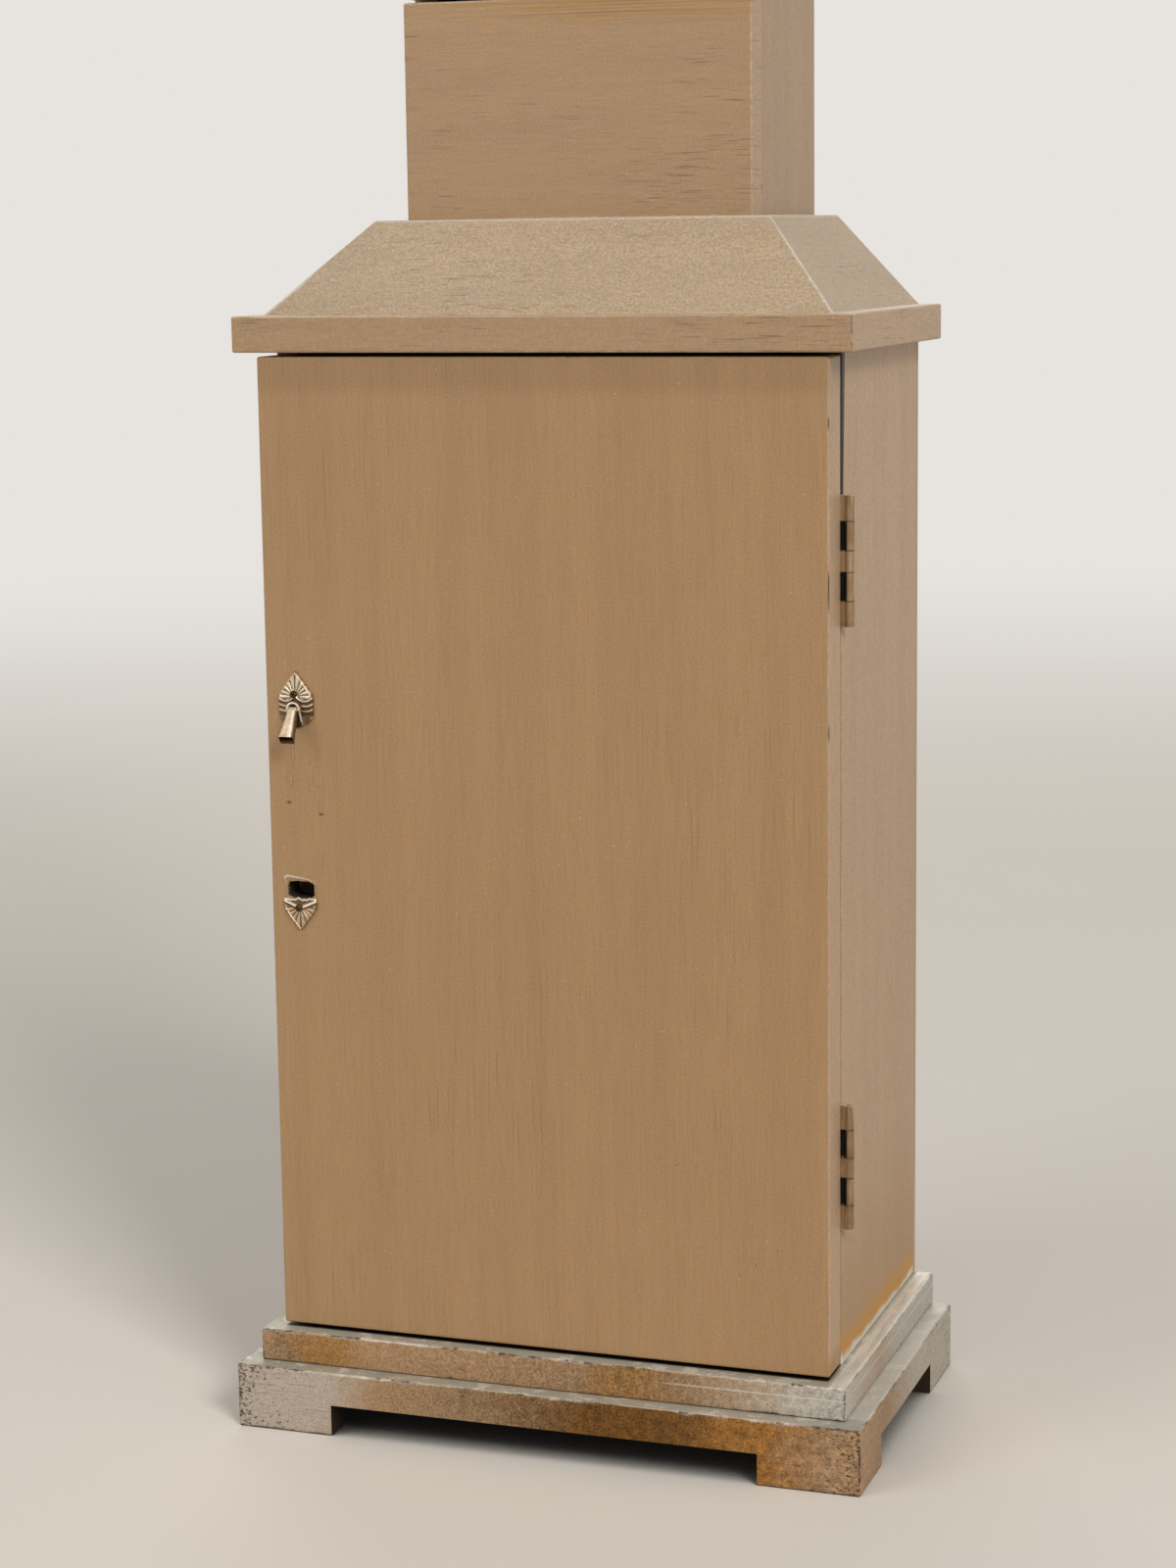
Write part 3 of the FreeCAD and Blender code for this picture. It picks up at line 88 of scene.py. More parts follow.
BRIGHT_GOLD = (0.52, 0.245, 0.038, 1)
LEDGE_PAINT = (0.42, 0.41, 0.345, 1)
FLAKED = (0.70, 0.68, 0.62, 1)
PINE = (0.42, 0.255, 0.12, 1)
PINE_DARK = (0.22, 0.115, 0.045, 1)
INSIDE = (0.055, 0.030, 0.018, 1)
BRASS = (0.60, 0.43, 0.17, 1)
BRASS_BRIGHT = (0.74, 0.58, 0.28, 1)
BRASS_DULL = (0.30, 0.19, 0.075, 1)
CAST = (0.84, 0.77, 0.66, 1)
CAST_WORN = (0.56, 0.44, 0.30, 1)
CAST_BROWN = (0.25, 0.155, 0.08, 1)
CAST_DARK = (0.045, 0.026, 0.014, 1)
STEEL = (0.36, 0.36, 0.37, 1)
STEEL_DARK = (0.12, 0.11, 0.105, 1)
BLUED = (0.012, 0.018, 0.045, 1)
CREAM = (0.78, 0.72, 0.58, 1)
CREAM_AGED = (0.60, 0.50, 0.34, 1)
INK = (0.012, 0.011, 0.010, 1)
PANE = (0.50, 0.55, 0.53, 1)
FLOOR = (0.76, 0.73, 0.69, 1)
BACKGROUND = (0.80, 0.775, 0.74, 1)


class Nodes:
    """A node tree, put together by short calls that take and give sockets."""

    def __init__(self, tree):
        self.tree = tree

    def add(self, kind, inputs=None, **settings):
        node = self.tree.nodes.new("ShaderNode" + kind)
        for key, value in settings.items():
            setattr(node, key, value)
        for key, value in (inputs or {}).items():
            self.feed(node.inputs[key], value)
        return node

    def feed(self, socket, value):
        if isinstance(value, bpy.types.NodeSocket):
            self.tree.links.new(value, socket)
        else:
            socket.default_value = value

    def math(self, operation, a, b=0.0):
        return self.add("Math", {0: a, 1: b}, operation=operation).outputs[0]

    def most(self, a, b):
        return self.math("MAXIMUM", a, b)

    def parts(self, vector):
        """The X, Y and Z of a vector or a colour."""
        return self.add("SeparateXYZ", {0: vector}).outputs

    def shown_ray(self):
        """1 for rays that show a thing: from the camera, off gloss or through glass."""
        rays = self.add("LightPath").outputs
        return self.most(self.most(rays["Is Camera Ray"], rays["Is Glossy Ray"]), rays["Is Transmission Ray"])

    def blend(self, share, a, b, output):
        """Send a blend of two shaders to the output."""
        mixed = self.add("MixShader", {0: share, 1: a.outputs[0], 2: b.outputs[0]})
        self.feed(self.tree.nodes[output].inputs["Surface"], mixed.outputs[0])


class Shader(Nodes):
    """A node material laid out by the place on the clock, with the colour so far."""

    def __init__(self, name, colour=None):
        self.colour = colour
        self.material = bpy.data.materials.new(name)
        self.material.use_nodes = True
        super().__init__(self.material.node_tree)
        self.surface = self.tree.nodes["Principled BSDF"]
        self.coords = self.add("TexCoord")
        self.place = self.coords.outputs["Object"]
        self.x, self.y, self.z = self.parts(self.place)

    def finish(self, rough, height=None, depth=0.0, **others):
        """The material, with bumps of a depth. Other inputs are named with underscores for spaces."""
        others.update(Base_Color=self.colour, Roughness=rough)
        if height:
            inputs = {"Height": height, "Distance": depth, "Strength": 1.0}
            others["Normal"] = self.add("Bump", inputs).outputs["Normal"]
        for key, value in others.items():
            self.feed(self.surface.inputs[key.replace("_", " ")], value)
        return self.material

    def facing(self, name):
        """One part of the surface's normal."""
        return self.parts(self.coords.outputs["Normal"])[name]

    def vector(self, operation, a, b=(0, 0, 0)):
        node = self.add("VectorMath", {0: a, 1: b}, operation=operation)
        number = operation in ("LENGTH", "DOT_PRODUCT")
        return node.outputs["Value" if number else "Vector"]

    def noise(self, scale, detail=3.0, rough=0.55, place=None):
        """Noise whose scale is one number, or one for each of X, Y and Z."""
        stretch = scale if isinstance(scale, tuple) else (scale,) * 3
        at = self.vector("MULTIPLY", place or self.place, stretch)
        inputs = {"Vector": at, "Scale": 1.0, "Detail": detail, "Roughness": rough}
        return self.add("TexNoise", inputs).outputs["Fac"]

    def ramp(self, value, low, high, kind="SMOOTHSTEP"):
        """0 at low and 1 at high, smooth between them. High may be the smaller one."""
        inputs = {"Value": value, "From Min": low, "From Max": high}
        return self.add("MapRange", inputs, interpolation_type=kind).outputs["Result"]

    def ramp_mm(self, value, low, high, start=0.0):
        """As ramp, but low and high are millimetres from a start."""
        return self.ramp(value, start + low * MM, start + high * MM)

    def ramp_flat(self, value, low, high):
        """As ramp, but straight."""
        return self.ramp(value, low, high, "LINEAR")

    def scaled(self, value, low, high):
        """A 0 to 1 value spread from low to high."""
        inputs = {"Value": value, "To Min": low, "To Max": high}
        return self.add("MapRange", inputs).outputs["Result"]

    def colours(self, value, *stops):
        """A colour that runs through (place, colour) stops as value goes from 0 to 1."""
        node = self.add("ValToRGB", {"Fac": value})
        elements = node.color_ramp.elements
        for place, colour in stops[2:]:
            elements.new(place)
        for element, (place, colour) in zip(elements, stops):
            element.position = place
            element.color = colour
        return node.outputs["Color"]

    def plus(self, a, b):
        return self.math("ADD", a, b)

    def minus(self, a, b):
        return self.math("SUBTRACT", a, b)

    def least(self, a, b):
        return self.math("MINIMUM", a, b)

    def size(self, a):
        return self.math("ABSOLUTE", a)

    def both(self, a, *others):
        """The product of numbers, such as masks and a strength."""
        for b in others:
            a = self.math("MULTIPLY", a, b)
        return a

    def swing(self, value, strength):
        """How far a noise is from its middle, times a strength."""
        return self.both(self.minus(value, 0.5), strength)

    def inside(self, value, low, high):
        """How far a value is from the nearer of two limits, and below 0 outside them."""
        return self.least(self.minus(value, low), self.minus(high, value))

    def times(self, colour, factor):
        node = self.add("VectorMath", {0: colour, "Scale": factor}, operation="SCALE")
        return node.outputs["Vector"]

    def mix(self, share, a, b):
        node = self.add("Mix", {0: share, 6: a, 7: b}, data_type="RGBA")
        return node.outputs[2]

    def lay(self, paint, *masks):
        """Paint over the colour so far, by the product of the masks."""
        self.colour = self.mix(self.both(*masks), self.colour, paint)

    def shade(self, factor):
        """Make the colour so far lighter or darker."""
        self.colour = self.times(self.colour, factor)

    def edge(self, radius):
        """About 1 on sharp edges and 0 on flat faces."""
        rounded = self.add("Bevel", {"Radius": radius}, samples=6).outputs["Normal"]
        true = self.add("NewGeometry").outputs["Normal"]
        return self.minus(1.0, self.vector("DOT_PRODUCT", rounded, true))

    def box_edge(self, low, high):
        """Distance from the nearest edge of a box: the middle one of its three face distances."""
        near = self.vector("MINIMUM", self.vector("SUBTRACT", self.place, tuple(low)),
                           self.vector("SUBTRACT", tuple(high), self.place))
        a, b, c = self.parts(near)
        return self.most(self.least(a, b), self.least(self.most(a, b), c))

    def line(self, start, end):
        """Distance from an endless straight line."""
        along = (Vector(end) - Vector(start)).normalized()
        across = self.vector("CROSS_PRODUCT", self.vector("SUBTRACT", self.place, tuple(start)), tuple(along))
        return self.vector("LENGTH", across)

    def spot(self, centre, radii, soft=0.35):
        """1 inside an ellipsoid and 0 outside it."""
        away = self.vector("SUBTRACT", self.place, tuple(centre))
        reach = self.vector("LENGTH", self.vector("MULTIPLY", away, tuple(1 / r for r in radii)))
        return self.ramp(reach, 1 + soft, 1 - soft)


# Scales across and along the grain or the brush strokes, in waves per metre
FINE, LONG = 1000.0, 90.0
UPRIGHT = (FINE, FINE, LONG)
LEVEL = (LONG, LONG, FINE)
CROSSWISE = (LONG, FINE, FINE)
BRUSHED = (FINE, FINE, 42.0)
OPEN_PORES = (45.0, 45.0, 1300.0)

# The speckle in the paint, in waves per metre, and the two casts of its bronze powder
SPECKLE = 800.0
WARM, COOL = (1.02, 0.995, 0.95), (0.98, 1.005, 1.05)


def stretched(grain, factor):
    return tuple(value * factor for value in grain)


def tinted(colour, factor):
    return tuple(value * factor for value in colour[:3]) + (1,)


def dress(node, material):
    nodes[node].data.materials.clear()
    nodes[node].data.materials.append(material)


def mark(node, s):
    """Add a node's own marks."""
    if node in MARKS:
        MARKS[node](s)


def painted_wood(node, edge, grain=BRUSHED, base=BRONZE, wear=0.2, pores=0.14):
    """Bronze paint brushed along the grain: greyer on the sides as a painted reflection, paler on top as painted
    light with dust specks, worn at the arrises.
    """
    s = Shader(node + "_paint")
    aside = s.ramp(s.size(s.facing("X")), 0.45, 0.90)
    upward = s.ramp(s.facing("Z"), 0.40, 0.75)
    brush = s.noise(grain, 2.0)
    clouds = s.noise(5.0, 3.0)
    speckle = s.noise(SPECKLE, 2.0, 0.6)
    # Painted reflection and light: side faces take a greyer tone and top faces a paler one.
    s.colour = s.mix(upward, s.mix(aside, base, BRONZE_GREY), BRONZE_DUST_AND_TOPLIGHT)
    powder = s.ramp(s.noise(320.0, 3.0), 0.35, 0.65)
    s.colour = s.mix(powder, s.vector("MULTIPLY", s.colour, WARM), s.vector("MULTIPLY", s.colour, COOL))
    stroke = s.plus(s.swing(brush, s.scaled(aside, 0.25, 0.42)), 1.0)
    sweep = s.scaled(s.ramp(s.noise(stretched(grain, 0.07), 3.0), 0.3, 0.7), 0.965, 1.035)
    # Painted light: the paint is up to a tenth lighter towards the bottom of the clock.
    painted_light_low = s.scaled(s.ramp_flat(s.z, 0.05, 0.55), 1.10, 1.0)
    grainy = s.most(s.scaled(upward, 0.48, 1.15), s.scaled(aside, 0.48, 0.70))
    grainy = s.plus(s.swing(speckle, grainy), 1.0)
    s.shade(s.both(stroke, s.scaled(clouds, 0.92, 1.08), sweep, painted_light_low, grainy))
    s.lay(RUBBED, s.ramp(speckle, 0.62, 0.78), s.scaled(upward, 0.08, 0.45))
    aged = s.vector("ADD", s.place, (0.37, 0.11, 0.23))
    thin = tuple(1.3 * value if value == FINE else 0.5 * value for value in grain)
    lines = s.both(s.ramp(s.noise(thin, 1.0, place=aged), 0.64, 0.72),
                   s.ramp(s.noise(12.0, 2.0, place=aged), 0.42, 0.62))
    s.lay(UNDERCOAT, lines, pores)
    s.lay(RUBBED, s.ramp(s.noise(620.0, 0.0), 0.82, 0.88), 0.45)
    ragged = s.plus(edge(s), s.scaled(s.noise(190.0, 5.0, 0.7), 1.8 * MM, -1.8 * MM))
    s.lay(RUBBED, s.ramp_mm(ragged, 0.9, 0.1), s.ramp(s.noise(26.0, 2.0), 0.38, 0.60), wear)
    s.lay(UNDERCOAT, s.ramp_mm(ragged, 0.7, -0.3), s.ramp(s.noise(48.0, 3.0), 0.60, 0.68), 0.8)
    mark(node, s)
    half_brush = s.both(brush, 0.5)
    rough = s.scaled(s.plus(half_brush, s.both(clouds, 0.5)), 0.40, 0.58)
    height = s.plus(half_brush, s.minus(s.both(speckle, 0.6), s.both(lines, 0.8)))
    dress(node, s.finish(rough, height, 0.10 * MM, Metallic=0.25))


def box_edges(node):
    low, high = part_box(node)
    return lambda s: s.box_edge(low, high)


def sharp_edges(s):
    """For boards whose arrises slope: near 0 on an arris and 2.4 mm away from it."""
    return s.scaled(s.ramp(s.edge(1.2 * MM), 0.0, 0.10), 2.4 * MM, 0.0)


def front_spots(corner, deep, *marks):
    """Spots on a front face, each (centre, radii), from marks in millimetres.

    A mark is how far it is right of the corner and above it, and half its width and height.
    """
    return [(Vector(corner) + Vector((right, 0, up)) * MM, Vector((half_w, deep, half_h)) * MM)
            for right, up, half_w, half_h in marks]


def patches(s, under, spots, scale, threshold, strength):
    """Show another colour in ragged patches inside soft spots, each (centre, radii)."""
    ragged = s.ramp(s.noise(scale, 4.0, 0.7), threshold, threshold + 0.10)
    for centre, radii in spots:
        s.lay(under, s.spot(centre, radii, 0.6), ragged, strength)


def plinth_paint(node, layer, front, side, pitted=1.0, mottled=2.8):
    """Silver and gold spray paint in zones, with pale dusty ledges, pitted corners, and near-black inner and
    downward faces that are partly bare wood and partly painted shade.

    Front and side are colour stops along the X and Y of the plinth's layer, a (low, high) box.
    """
    low, high = layer
    s = Shader(node + "_paint")
    ledge = s.ramp(s.facing("Z"), 0.55, 0.85)
    aside = s.ramp(s.size(s.facing("X")), 0.55, 0.85)
    clouds = s.noise(22.0, 6.0, 0.65)
    mottle = s.noise(210.0, 5.0, 0.75)
    grit = s.noise(900.0, 3.0, 0.65)
    drift = s.swing(clouds, 0.24)
    across = s.plus(s.ramp_flat(s.x, low.x, high.x), drift)
    inward = s.plus(s.ramp_flat(s.y, low.y, high.y), drift)
    face = s.mix(aside, s.colours(across, *front), s.colours(inward, *side))
    golden = s.both(s.ramp(across, 0.22, 0.45), s.minus(1.0, aside))
    uneven = s.swing(mottle, s.scaled(golden, 0.5, mottled))
    gilt = s.ramp(s.parts(face)["X"], 0.45, 0.20)
    peel = s.swing(grit, s.scaled(gilt, 1.3, 3.4))
    face = s.times(face, s.both(s.plus(uneven, 1.0), s.plus(peel, 1.0)))
    top = s.mix(s.ramp(clouds, 0.42, 0.60), LEDGE_PAINT, SILVER_GREY)
    top = s.mix(s.both(s.ramp(s.noise(85.0, 5.0, 0.75), 0.53, 0.60), 0.75), top, FLAKED)
    s.colour = s.mix(ledge, face, s.times(top, s.scaled(grit, 0.7, 1.3)))
    near = s.box_edge(low, high)
    ragged = s.plus(near, s.scaled(s.noise(260.0, 5.0, 0.75), 2.6 * MM, -2.6 * MM))
    pale = s.both(s.ramp_mm(ragged, 1.6, 0.4), s.ramp(s.noise(34.0, 2.0), 0.46, 0.62))
    s.lay(FLAKED, pale, s.ramp_mm(s.z, -4, -1, high.z), 0.6)
    end_x = s.inside(s.x, low.x, high.x)
    end_y = s.inside(s.y, low.y, high.y)
    end = s.most(end_x, end_y)
    corner = s.both(s.ramp_mm(s.plus(end, s.both(near, 1.5)), 48, 2), s.scaled(aside, 1.0, 0.4))
    pits = s.plus(s.noise((420.0, 420.0, 640.0), 4.0, 0.7), s.both(corner, 0.11))
    pits = s.both(pits, s.scaled(s.noise(60.0, 3.0), 0.86, 1.10))
    pits = s.both(s.ramp(pits, 0.61, 0.66), s.scaled(ledge, 1.0, 0.2))
    scratch = s.both(s.ramp(s.noise((30.0, 30.0, 1300.0), 2.0), 0.61, 0.67), s.ramp_mm(end, 120, 20))
    worn = s.plus(s.noise(70.0, 3.0), s.both(corner, 0.08))
    chips = s.both(s.ramp_mm(ragged, 1.4, 0), s.ramp(worn, 0.48, 0.56))
    dark = s.most(s.both(s.most(pits, s.both(scratch, 0.5)), pitted), chips)
    s.lay(UNDERCOAT, dark, 0.9)
    mark(node, s)
    # Inner and downward faces near black: unpainted wood, made darker still as painted shade under the plinth.
    within = s.both(aside, s.ramp_mm(end_x, 4, 7))
    behind = s.both(s.ramp(s.size(s.facing("Y")), 0.5, 0.8), s.ramp_mm(end_y, 4, 7))
    hidden_and_shaded = s.most(s.ramp(s.facing("Z"), -0.5, -0.8), s.most(within, behind))
    s.lay(tinted(INSIDE, 0.5), hidden_and_shaded)
    height = s.minus(s.both(grit, 0.6), dark)
    dress(node, s.finish(s.scaled(grit, 0.36, 0.60), height, 0.20 * MM, Specular_IOR_Level=0.25,
                         Metallic=s.scaled(hidden_and_shaded, 0.30, 0.0)))


def bare_wood(node, along):
    """Softwood with long growth lines and fine fibres."""
    s = Shader(node + "_wood", PINE)
    bend = s.noise(stretched(along, 0.004), 2.0)
    shifted = s.vector("ADD", s.place, s.both(bend, 0.06))
    rings = s.noise(stretched(along, 0.085), 2.0, 0.4, place=shifted)
    fibre = s.noise(along, 2.0)
    s.lay(PINE_DARK, s.ramp(rings, 0.36, 0.66), 0.6)
    s.lay(PINE_DARK, fibre, 0.45)
    s.lay(INSIDE, s.ramp(s.noise(5.0, 3.0), 0.5, 0.75), 0.35)
    mark(node, s)
    dress(node, s.finish(s.scaled(fibre, 0.60, 0.82), fibre, 0.15 * MM))


def metal(name, bright, dull, rough=(0.26, 0.48), rubbed=None, shafts=None, shine=1.0):
    """Worked metal with a film of tarnish. Edges are rubbed bright, and shafts may be of steel."""
    s = Shader(name, bright)
    tarnish = s.noise(70.0, 5.0, 0.65)
    grain = s.noise(1400.0, 2.0)
    s.lay(dull, s.ramp(tarnish, 0.38, 0.72))
    s.lay(dull, s.ramp(grain, 0.45, 0.70), 0.25)
    if shafts:
        s.lay(STEEL, shafts(s))
    if rubbed:
        s.lay(rubbed, s.ramp(s.edge(0.7 * MM), 0.02, 0.12))
    return s.finish(s.scaled(tarnish, *rough), grain, 0.03 * MM, Metallic=shine)


def painted_metal():
    """Hinge plates painted with the case, with bright metal along the rubbed edges, painted highlights on top
    faces and in vertical streaks, and painted shade in the recess.
    """
    s = Shader("painted_hinge", BRONZE_DARK)
    grit = s.noise(500.0, 4.0, 0.7)
    clouds = s.noise(60.0, 3.0)
    s.lay(BRONZE_PALE, s.ramp(clouds, 0.35, 0.7))
    s.lay(BRONZE_DARK, s.ramp(grit, 0.45, 0.28), 0.6)
    # Pale vertical streaks: a painted metallic sheen.
    s.lay(RUBBED, s.ramp(s.noise((900.0, 900.0, 40.0), 2.0), 0.52, 0.66), 0.5)
    worn = s.both(s.ramp(s.edge(0.8 * MM), 0.015, 0.10), s.ramp(s.noise(120.0, 3.0), 0.30, 0.55), 0.6)
    # Besides the rubbed edges, every upward face is bare metal as a painted highlight.
    s.lay(BARE_METAL, s.most(worn, s.ramp(s.facing("Z"), 0.7, 0.9)))
    s.lay(RUBBED, s.ramp(grit, 0.66, 0.74), 0.5)
    # Painted shade: black in the recess beside the case knuckles.
    s.lay(INK, hinge_recess_shade(s))
    return s.finish(s.scaled(grit, 0.32, 0.5), grit, 0.10 * MM, Metallic=0.55)


# Knuckles of the base hinges that belong to the case: millimetres from either end of the pair
CASE_KNUCKLES = ((12.5, 26.5), (37.0, 51.0))


def hinge_recess_shade(s):
    """1 in the recess between the door's edge and the case leaves' knuckles, black as painted shade, and less in
    the seams.
    """
    low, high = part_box("base_door_hinge_leaves")
    axis_x = joint_of_body["base_door"][0]
    edge_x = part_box("base_door")[1].x
    end = s.inside(s.z, low.z, high.z)
    level = seam = 0.0
    for start, stop in CASE_KNUCKLES:
        knuckle = s.inside(end, (start - 0.1) * MM, (stop + 0.1) * MM)
        level = s.most(level, s.ramp_mm(knuckle, 0, 0.2))
        for border in (start, stop):
            away = s.size(s.minus(end, border * MM))
            seam = s.most(seam, s.ramp_mm(away, 0.6, 0.3))
    behind = s.ramp_mm(s.x, -0.4, -0.7, axis_x)
    outside = s.ramp_mm(s.x, -1.2, -0.6, edge_x)
    return s.most(s.both(level, behind, outside), s.both(seam, 0.7))


def relief_of(s):
    """The relief that a mesh carries: low in its hollows and high on its ridges, with painted light and shade in
    places.
    """
    return s.add("Attribute", attribute_name="relief").outputs["Fac"]


def cast_metal():
    """Cast and gilt metal, dark in the hollows and bright on the ridges."""
    s = Shader("cast_gilt")
    pits = s.noise(1500.0, 4.0, 0.7)
    lit = s.plus(relief_of(s), s.swing(s.noise(180.0, 3.0), 0.35))
    s.colour = s.colours(lit, (0.0, CAST_DARK), (0.30, CAST_BROWN), (0.60, CAST_WORN), (0.95, CAST))
    s.lay(CAST_BROWN, s.ramp(pits, 0.42, 0.30), 0.5)
    return s.finish(s.scaled(pits, 0.24, 0.46), pits, 0.12 * MM, Metallic=0.85)


def torn_wood():
    """Raw wood and lifted paint at the torn rim, black inside the hole as painted shade."""
    s = Shader("torn_wood")
    relief = relief_of(s)
    fibre = s.noise((700.0, 700.0, 2600.0), 3.0, 0.7)
    lit = s.plus(relief, s.swing(fibre, s.scaled(s.ramp(relief, 0.1, 0.3), 0.0, 0.7)))
    s.colour = s.colours(lit, (0.0, INK), (0.20, BRONZE_DARK), (0.45, BRONZE), (0.65, BRONZE_GREY),
                         (0.95, FLAKED))
    return s.finish(s.scaled(fibre, 0.5, 0.8), fibre, 0.3 * MM)


def dial_paint():
    """Cream enamel paint with age spots and hairline crazing."""
    s = Shader("dial_cream", CREAM)
    clouds = s.noise(14.0, 5.0, 0.6)
    cells = s.add("TexVoronoi", {"Vector": s.place, "Scale": 240.0}, feature="DISTANCE_TO_EDGE")
    craze = s.both(s.ramp(cells.outputs["Distance"], 0.018, 0.004), s.ramp(clouds, 0.42, 0.62))
    s.lay(CREAM_AGED, s.ramp(clouds, 0.40, 0.72))
    s.lay(CREAM_AGED, s.ramp(s.noise(160.0, 4.0, 0.7), 0.66, 0.76), 0.5)
    s.lay(BRONZE_DARK, craze, 0.35)
    return s.finish(s.scaled(clouds, 0.28, 0.45), craze, -0.05 * MM)


def ink_paint():
    s = Shader("dial_ink", INK)
    thin = s.noise(700.0, 4.0, 0.7)
    s.lay(BRONZE_DARK, s.ramp(thin, 0.60, 0.74), 0.4)
    return s.finish(s.scaled(thin, 0.35, 0.6), thin, 0.03 * MM)


def window_glass():
    s = Shader("pane_glass", PANE)
    return s.finish(0.02, s.noise(16.0, 2.0), 0.15 * MM, Alpha=0.09)


def stained_and_shaded(s, place, low, high):
    """Dark stained wood instead of paint where a place lies between low and high; on edges that face a door's gap
    it is painted shade.
    """
    wood = s.mix(s.noise(UPRIGHT, 2.0), PINE_DARK, INSIDE)
    s.lay(wood, s.ramp_mm(s.inside(place, low, high), 0, 0.2))


def door_marks(s):
    """The cupboard door: a painted shadow under the eave, scratches, chips, red specks, gold and a dark back."""
    low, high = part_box("base_door")
    # Painted shadow of the eave: a darker band along the door's top.
    s.shade(s.scaled(s.ramp_mm(s.z, -21, -13, high.z), 1.0, 0.88))
    below_pull = front_spots(low, 4, (26, 292, 5, 20), (13, 300, 4, 22), (27, 248, 3, 7))
    patches(s, UNDERCOAT, below_pull, (2400.0, 1.0, 75.0), 0.54, 0.5)
    corner = front_spots(low, 4, (255, 62, 26, 14), (215, 100, 14, 12))
    patches(s, UNDERCOAT, corner, (500.0, 1.0, 330.0), 0.60, 0.5)
    chips = front_spots((high.x, low.y, low.z), 1, (0, 322, 0.6, 5), (0, 388, 0.6, 9), (0, 395, 0.6, 6),
                        (0, 470, 0.6, 4))
    for centre, radii in chips:
        s.lay(UNDERCOAT, s.spot(centre, radii), 0.8)
    gold = front_spots((high.x, low.y + 10 * MM, low.z), 16, (0, 0, 3, 10))
    patches(s, OCHRE, gold, 150.0, 0.35, 0.7)
    for centre, radii in front_spots(low, 2, (11.0, 276.5, 1.4, 0.7), (28.5, 271.0, 1.4, 0.7)):
        s.lay(RED_SPECK, s.spot(centre, radii), 0.8)
    stained_and_shaded(s, s.y, high.y - 0.4 * MM, high.y + 1 * MM)


def rail_marks(s):
    """The rail under the trunk door: orange streaks along its top, and open pores low on the right."""
    low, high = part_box("trunk_bottom_rail")
    band = front_spots((high.x, low.y, high.z), 6, (-60, -3, 100, 9))
    patches(s, OCHRE, band, (6.0, 6.0, 700.0), 0.46, 0.75)
    patches(s, BRONZE_DARK, band, (9.0, 9.0, 1100.0), 0.52, 0.8)
    pores = front_spots((high.x, low.y, low.z), 6, (-30, 16, 45, 20))
    patches(s, UNDERCOAT, pores, OPEN_PORES, 0.56, 0.4)


def eave_marks(s):
    """The eave board: ochre flecks, open pores and a dark mitre at its right end."""
    low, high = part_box("eave_board")
    flecks = front_spots(low, 4, (45, 3, 60, 4))
    patches(s, OCHRE, flecks, (130.0, 130.0, 700.0), 0.55, 0.6)
    pores = front_spots((high.x, low.y, low.z), 4, (-45, 9, 60, 8))
    pores += front_spots((low.x, low.y, high.z), 4, (20, -4, 26, 5))
    patches(s, UNDERCOAT, pores, OPEN_PORES, 0.54, 0.5)
    mitre = s.plus(s.line((high.x, low.y, 0), (high.x, low.y, 1)), s.scaled(s.noise(200.0), -MM, MM))
    s.lay(UNDERCOAT, s.ramp_mm(mitre, 1.0, 0.4), 0.6)


# The lower and upper end of the skirt's right hip
HIP_LOW = Vector((146.8, -73.3, 574.0)) * MM
HIP_HIGH = Vector((103.3, -28.6, 620.0)) * MM


def skirt_marks(s):
    """Pale wear on the skirt's hips, a pale line along its top edge as a painted highlight, ochre flecks at its
    foot, and darker towards the left.
    """
    # Darker towards the left.
    s.shade(s.scaled(s.ramp(s.x, -HIP_LOW.x, -20 * MM), 0.90, 1.0))
    foot = front_spots((0, HIP_LOW.y, HIP_LOW.z), 6, (-40, 2, 110, 4))
    patches(s, OCHRE, foot, (110.0, 110.0, 600.0), 0.55, 0.75)
    rough = s.scaled(s.noise(300.0, 4.0, 0.7), -1.6 * MM, 1.6 * MM)
    # Painted highlight: a pale line along the top arris.
    s.lay(FLAKED, s.ramp_mm(s.plus(s.z, s.both(rough, 0.5)), -1.5, -0.6, HIP_HIGH.z), 0.35)
    for sign, width, reach in ((1, 1.2 * MM, 60 * MM), (-1, 2.2 * MM, 24 * MM)):
        mirror = Vector((sign, 1, 1))
        near = s.plus(s.line(HIP_LOW * mirror, HIP_HIGH * mirror), rough)
        fading = s.ramp(s.z, HIP_LOW.z + reach, HIP_LOW.z + 0.5 * reach)
        s.lay(FLAKED, s.ramp(near, width, 0.3 * width), fading, 0.65)


def trunk_side_marks(s):
    """The trunk's sides are a little darker low down."""
    s.shade(s.scaled(s.ramp(s.z, 0.75, 1.0), 0.90, 1.0))


